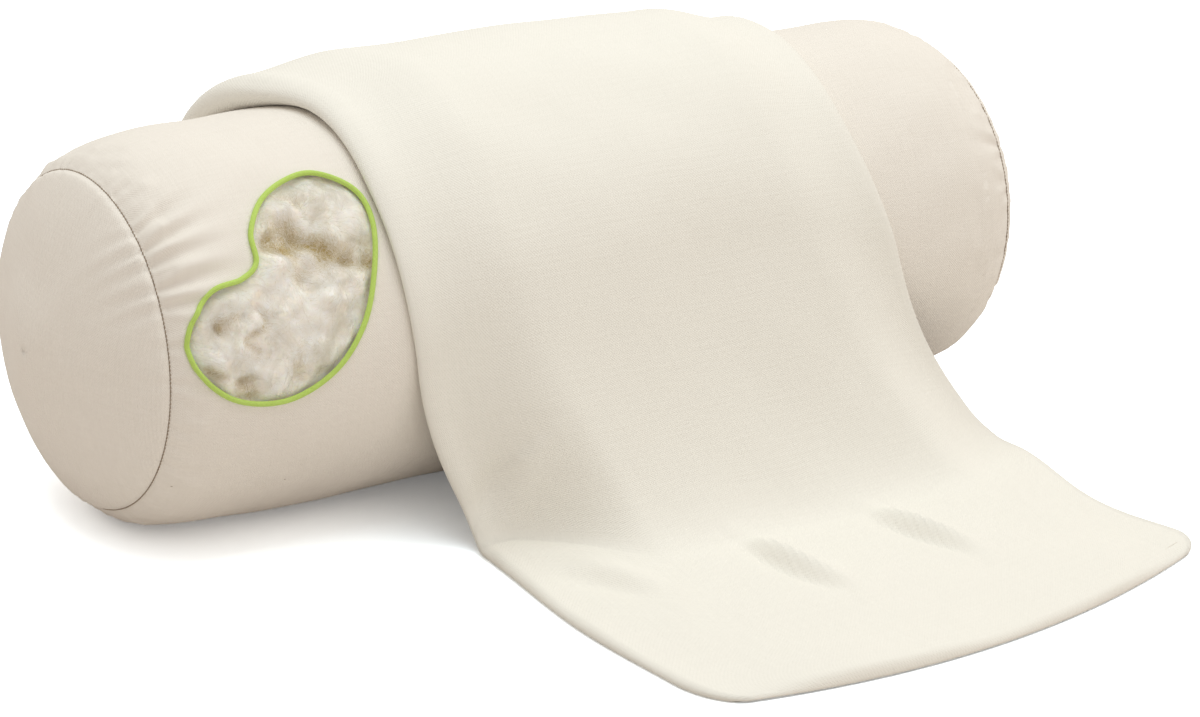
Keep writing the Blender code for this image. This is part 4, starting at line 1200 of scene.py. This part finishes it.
def case_layer(station, left_over, upper):
    """One layer of the case as rows of points, from its left fold to its right fold."""
    station, left_over = station[:, None], left_over[:, None]
    drawn = corner_inset(left_over)
    left, right = eased(station, 1) + drawn, eased(station, 2) - drawn
    width = right - left
    roll = np.linspace(0, math.pi / 2, ROLL_STEPS + 1)[None, :]
    left_roll, right_roll = eased(station, 6), eased(station, 7)
    flat_share = np.linspace(0, 1, LAYER_COLUMNS)[None, 1:-1]
    left_x = left + left_roll * (1 - np.cos(roll))
    right_x = right - right_roll * (1 - np.cos(roll[:, ::-1]))
    flat_x = left + left_roll + (width - left_roll - right_roll) * flat_share
    x = np.concatenate([left_x, flat_x, right_x], axis=1)
    full = np.ones(flat_x.shape)
    swell = np.concatenate([np.sin(roll) * np.ones_like(left_x), full,
                            np.sin(roll[:, ::-1]) * np.ones_like(right_x)], axis=1)
    share = (x - left) / width
    edge_height = eased(station, 4) + (eased(station, 5) - eased(station, 4)) * share
    ease_in = np.clip(np.minimum(x - left - left_roll, right - right_roll - x) / 0.05, 0, 1)
    ease_in = ease_in**2 * (3 - 2 * ease_in)
    full_height = edge_height + (eased(station, 3) - edge_height) * ease_in
    shut = np.clip(left_over / FRONT_ROLL, 0, 1)
    shut = np.sqrt(1 - (1 - shut) ** 2)
    full_height = SHUT_HEIGHT + (full_height - SHUT_HEIGHT) * shut
    edge_height = SHUT_HEIGHT + (edge_height - SHUT_HEIGHT) * shut
    if not upper:
        height = edge_height / 2 * (1 - swell)
        return case_points(station, x, share, height), share
    height = edge_height / 2 * (1 - swell) + full_height * swell
    base = case_points(station, x, share, height)
    soft = 0.0010 * soft_waves(base, 0.16, 61) + 0.0004 * soft_waves(base, 0.06, 62)
    folded = crease_height(base)
    least = np.minimum(full_height, LEAST_HEIGHT) * swell + edge_height / 2 * (1 - swell)
    height = np.maximum(height + swell * shut * (soft + folded), least)
    return case_points(station, x, share, height), share


def make_case():
    station, run, total = case_rows()
    short = np.minimum(run, total - LOWER_SHORT)
    lower, _ = case_layer(np.interp(short, run, station), total - short, upper=False)
    upper, _ = case_layer(station, total - run, upper=True)
    points = np.concatenate([lower, upper[:, -2:0:-1]], axis=1)
    columns = points.shape[1]
    girth = np.linspace(0, CASE_FLAT[0], columns + 1)
    flat = np.stack(np.meshgrid(girth, run), axis=-1)
    jersey = cotton_cloth("ivory_jersey", CASE_PALE, CASE_DEEP, JERSEY_PER_METRE, 0.6, 0.0005)
    case, _ = sheet_of("case_sleeve_cloth", points, jersey, flat, closed=True)
    wall = case.modifiers.new("cloth thickness", "SOLIDIFY")
    wall.thickness = CASE_WALL
    wall.offset = -1
    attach(case, "case")
    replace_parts(case, "case_sleeve")
    return jersey


jersey = make_case()


# ---------------------------------------------------------------- case end panels
# Each end of the empty case has its round panel folded double and tucked inside, between the
# two layers.


def make_tucked_panel(node_name, name):
    """The tucked panel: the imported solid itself, in the case's jersey."""
    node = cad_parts[node_name]
    panel = bpy.data.objects.new(name, node.data.copy())
    panel.data.materials.clear()
    panel.data.materials.append(jersey)
    spots = np.array([vert.co for vert in panel.data.vertices])
    uv = panel.data.uv_layers.get("cloth") or panel.data.uv_layers.new(name="cloth")
    loops = np.array([loop.vertex_index for loop in panel.data.loops])
    uv.data.foreach_set("uv", spots[loops][:, :2].reshape(-1).astype(np.float32))
    bpy.context.scene.collection.objects.link(panel)
    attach(panel, "case")
    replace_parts(panel, node_name)


make_tucked_panel("case_end_front", "case_tucked_panel_front")
make_tucked_panel("case_end_back", "case_tucked_panel_back")
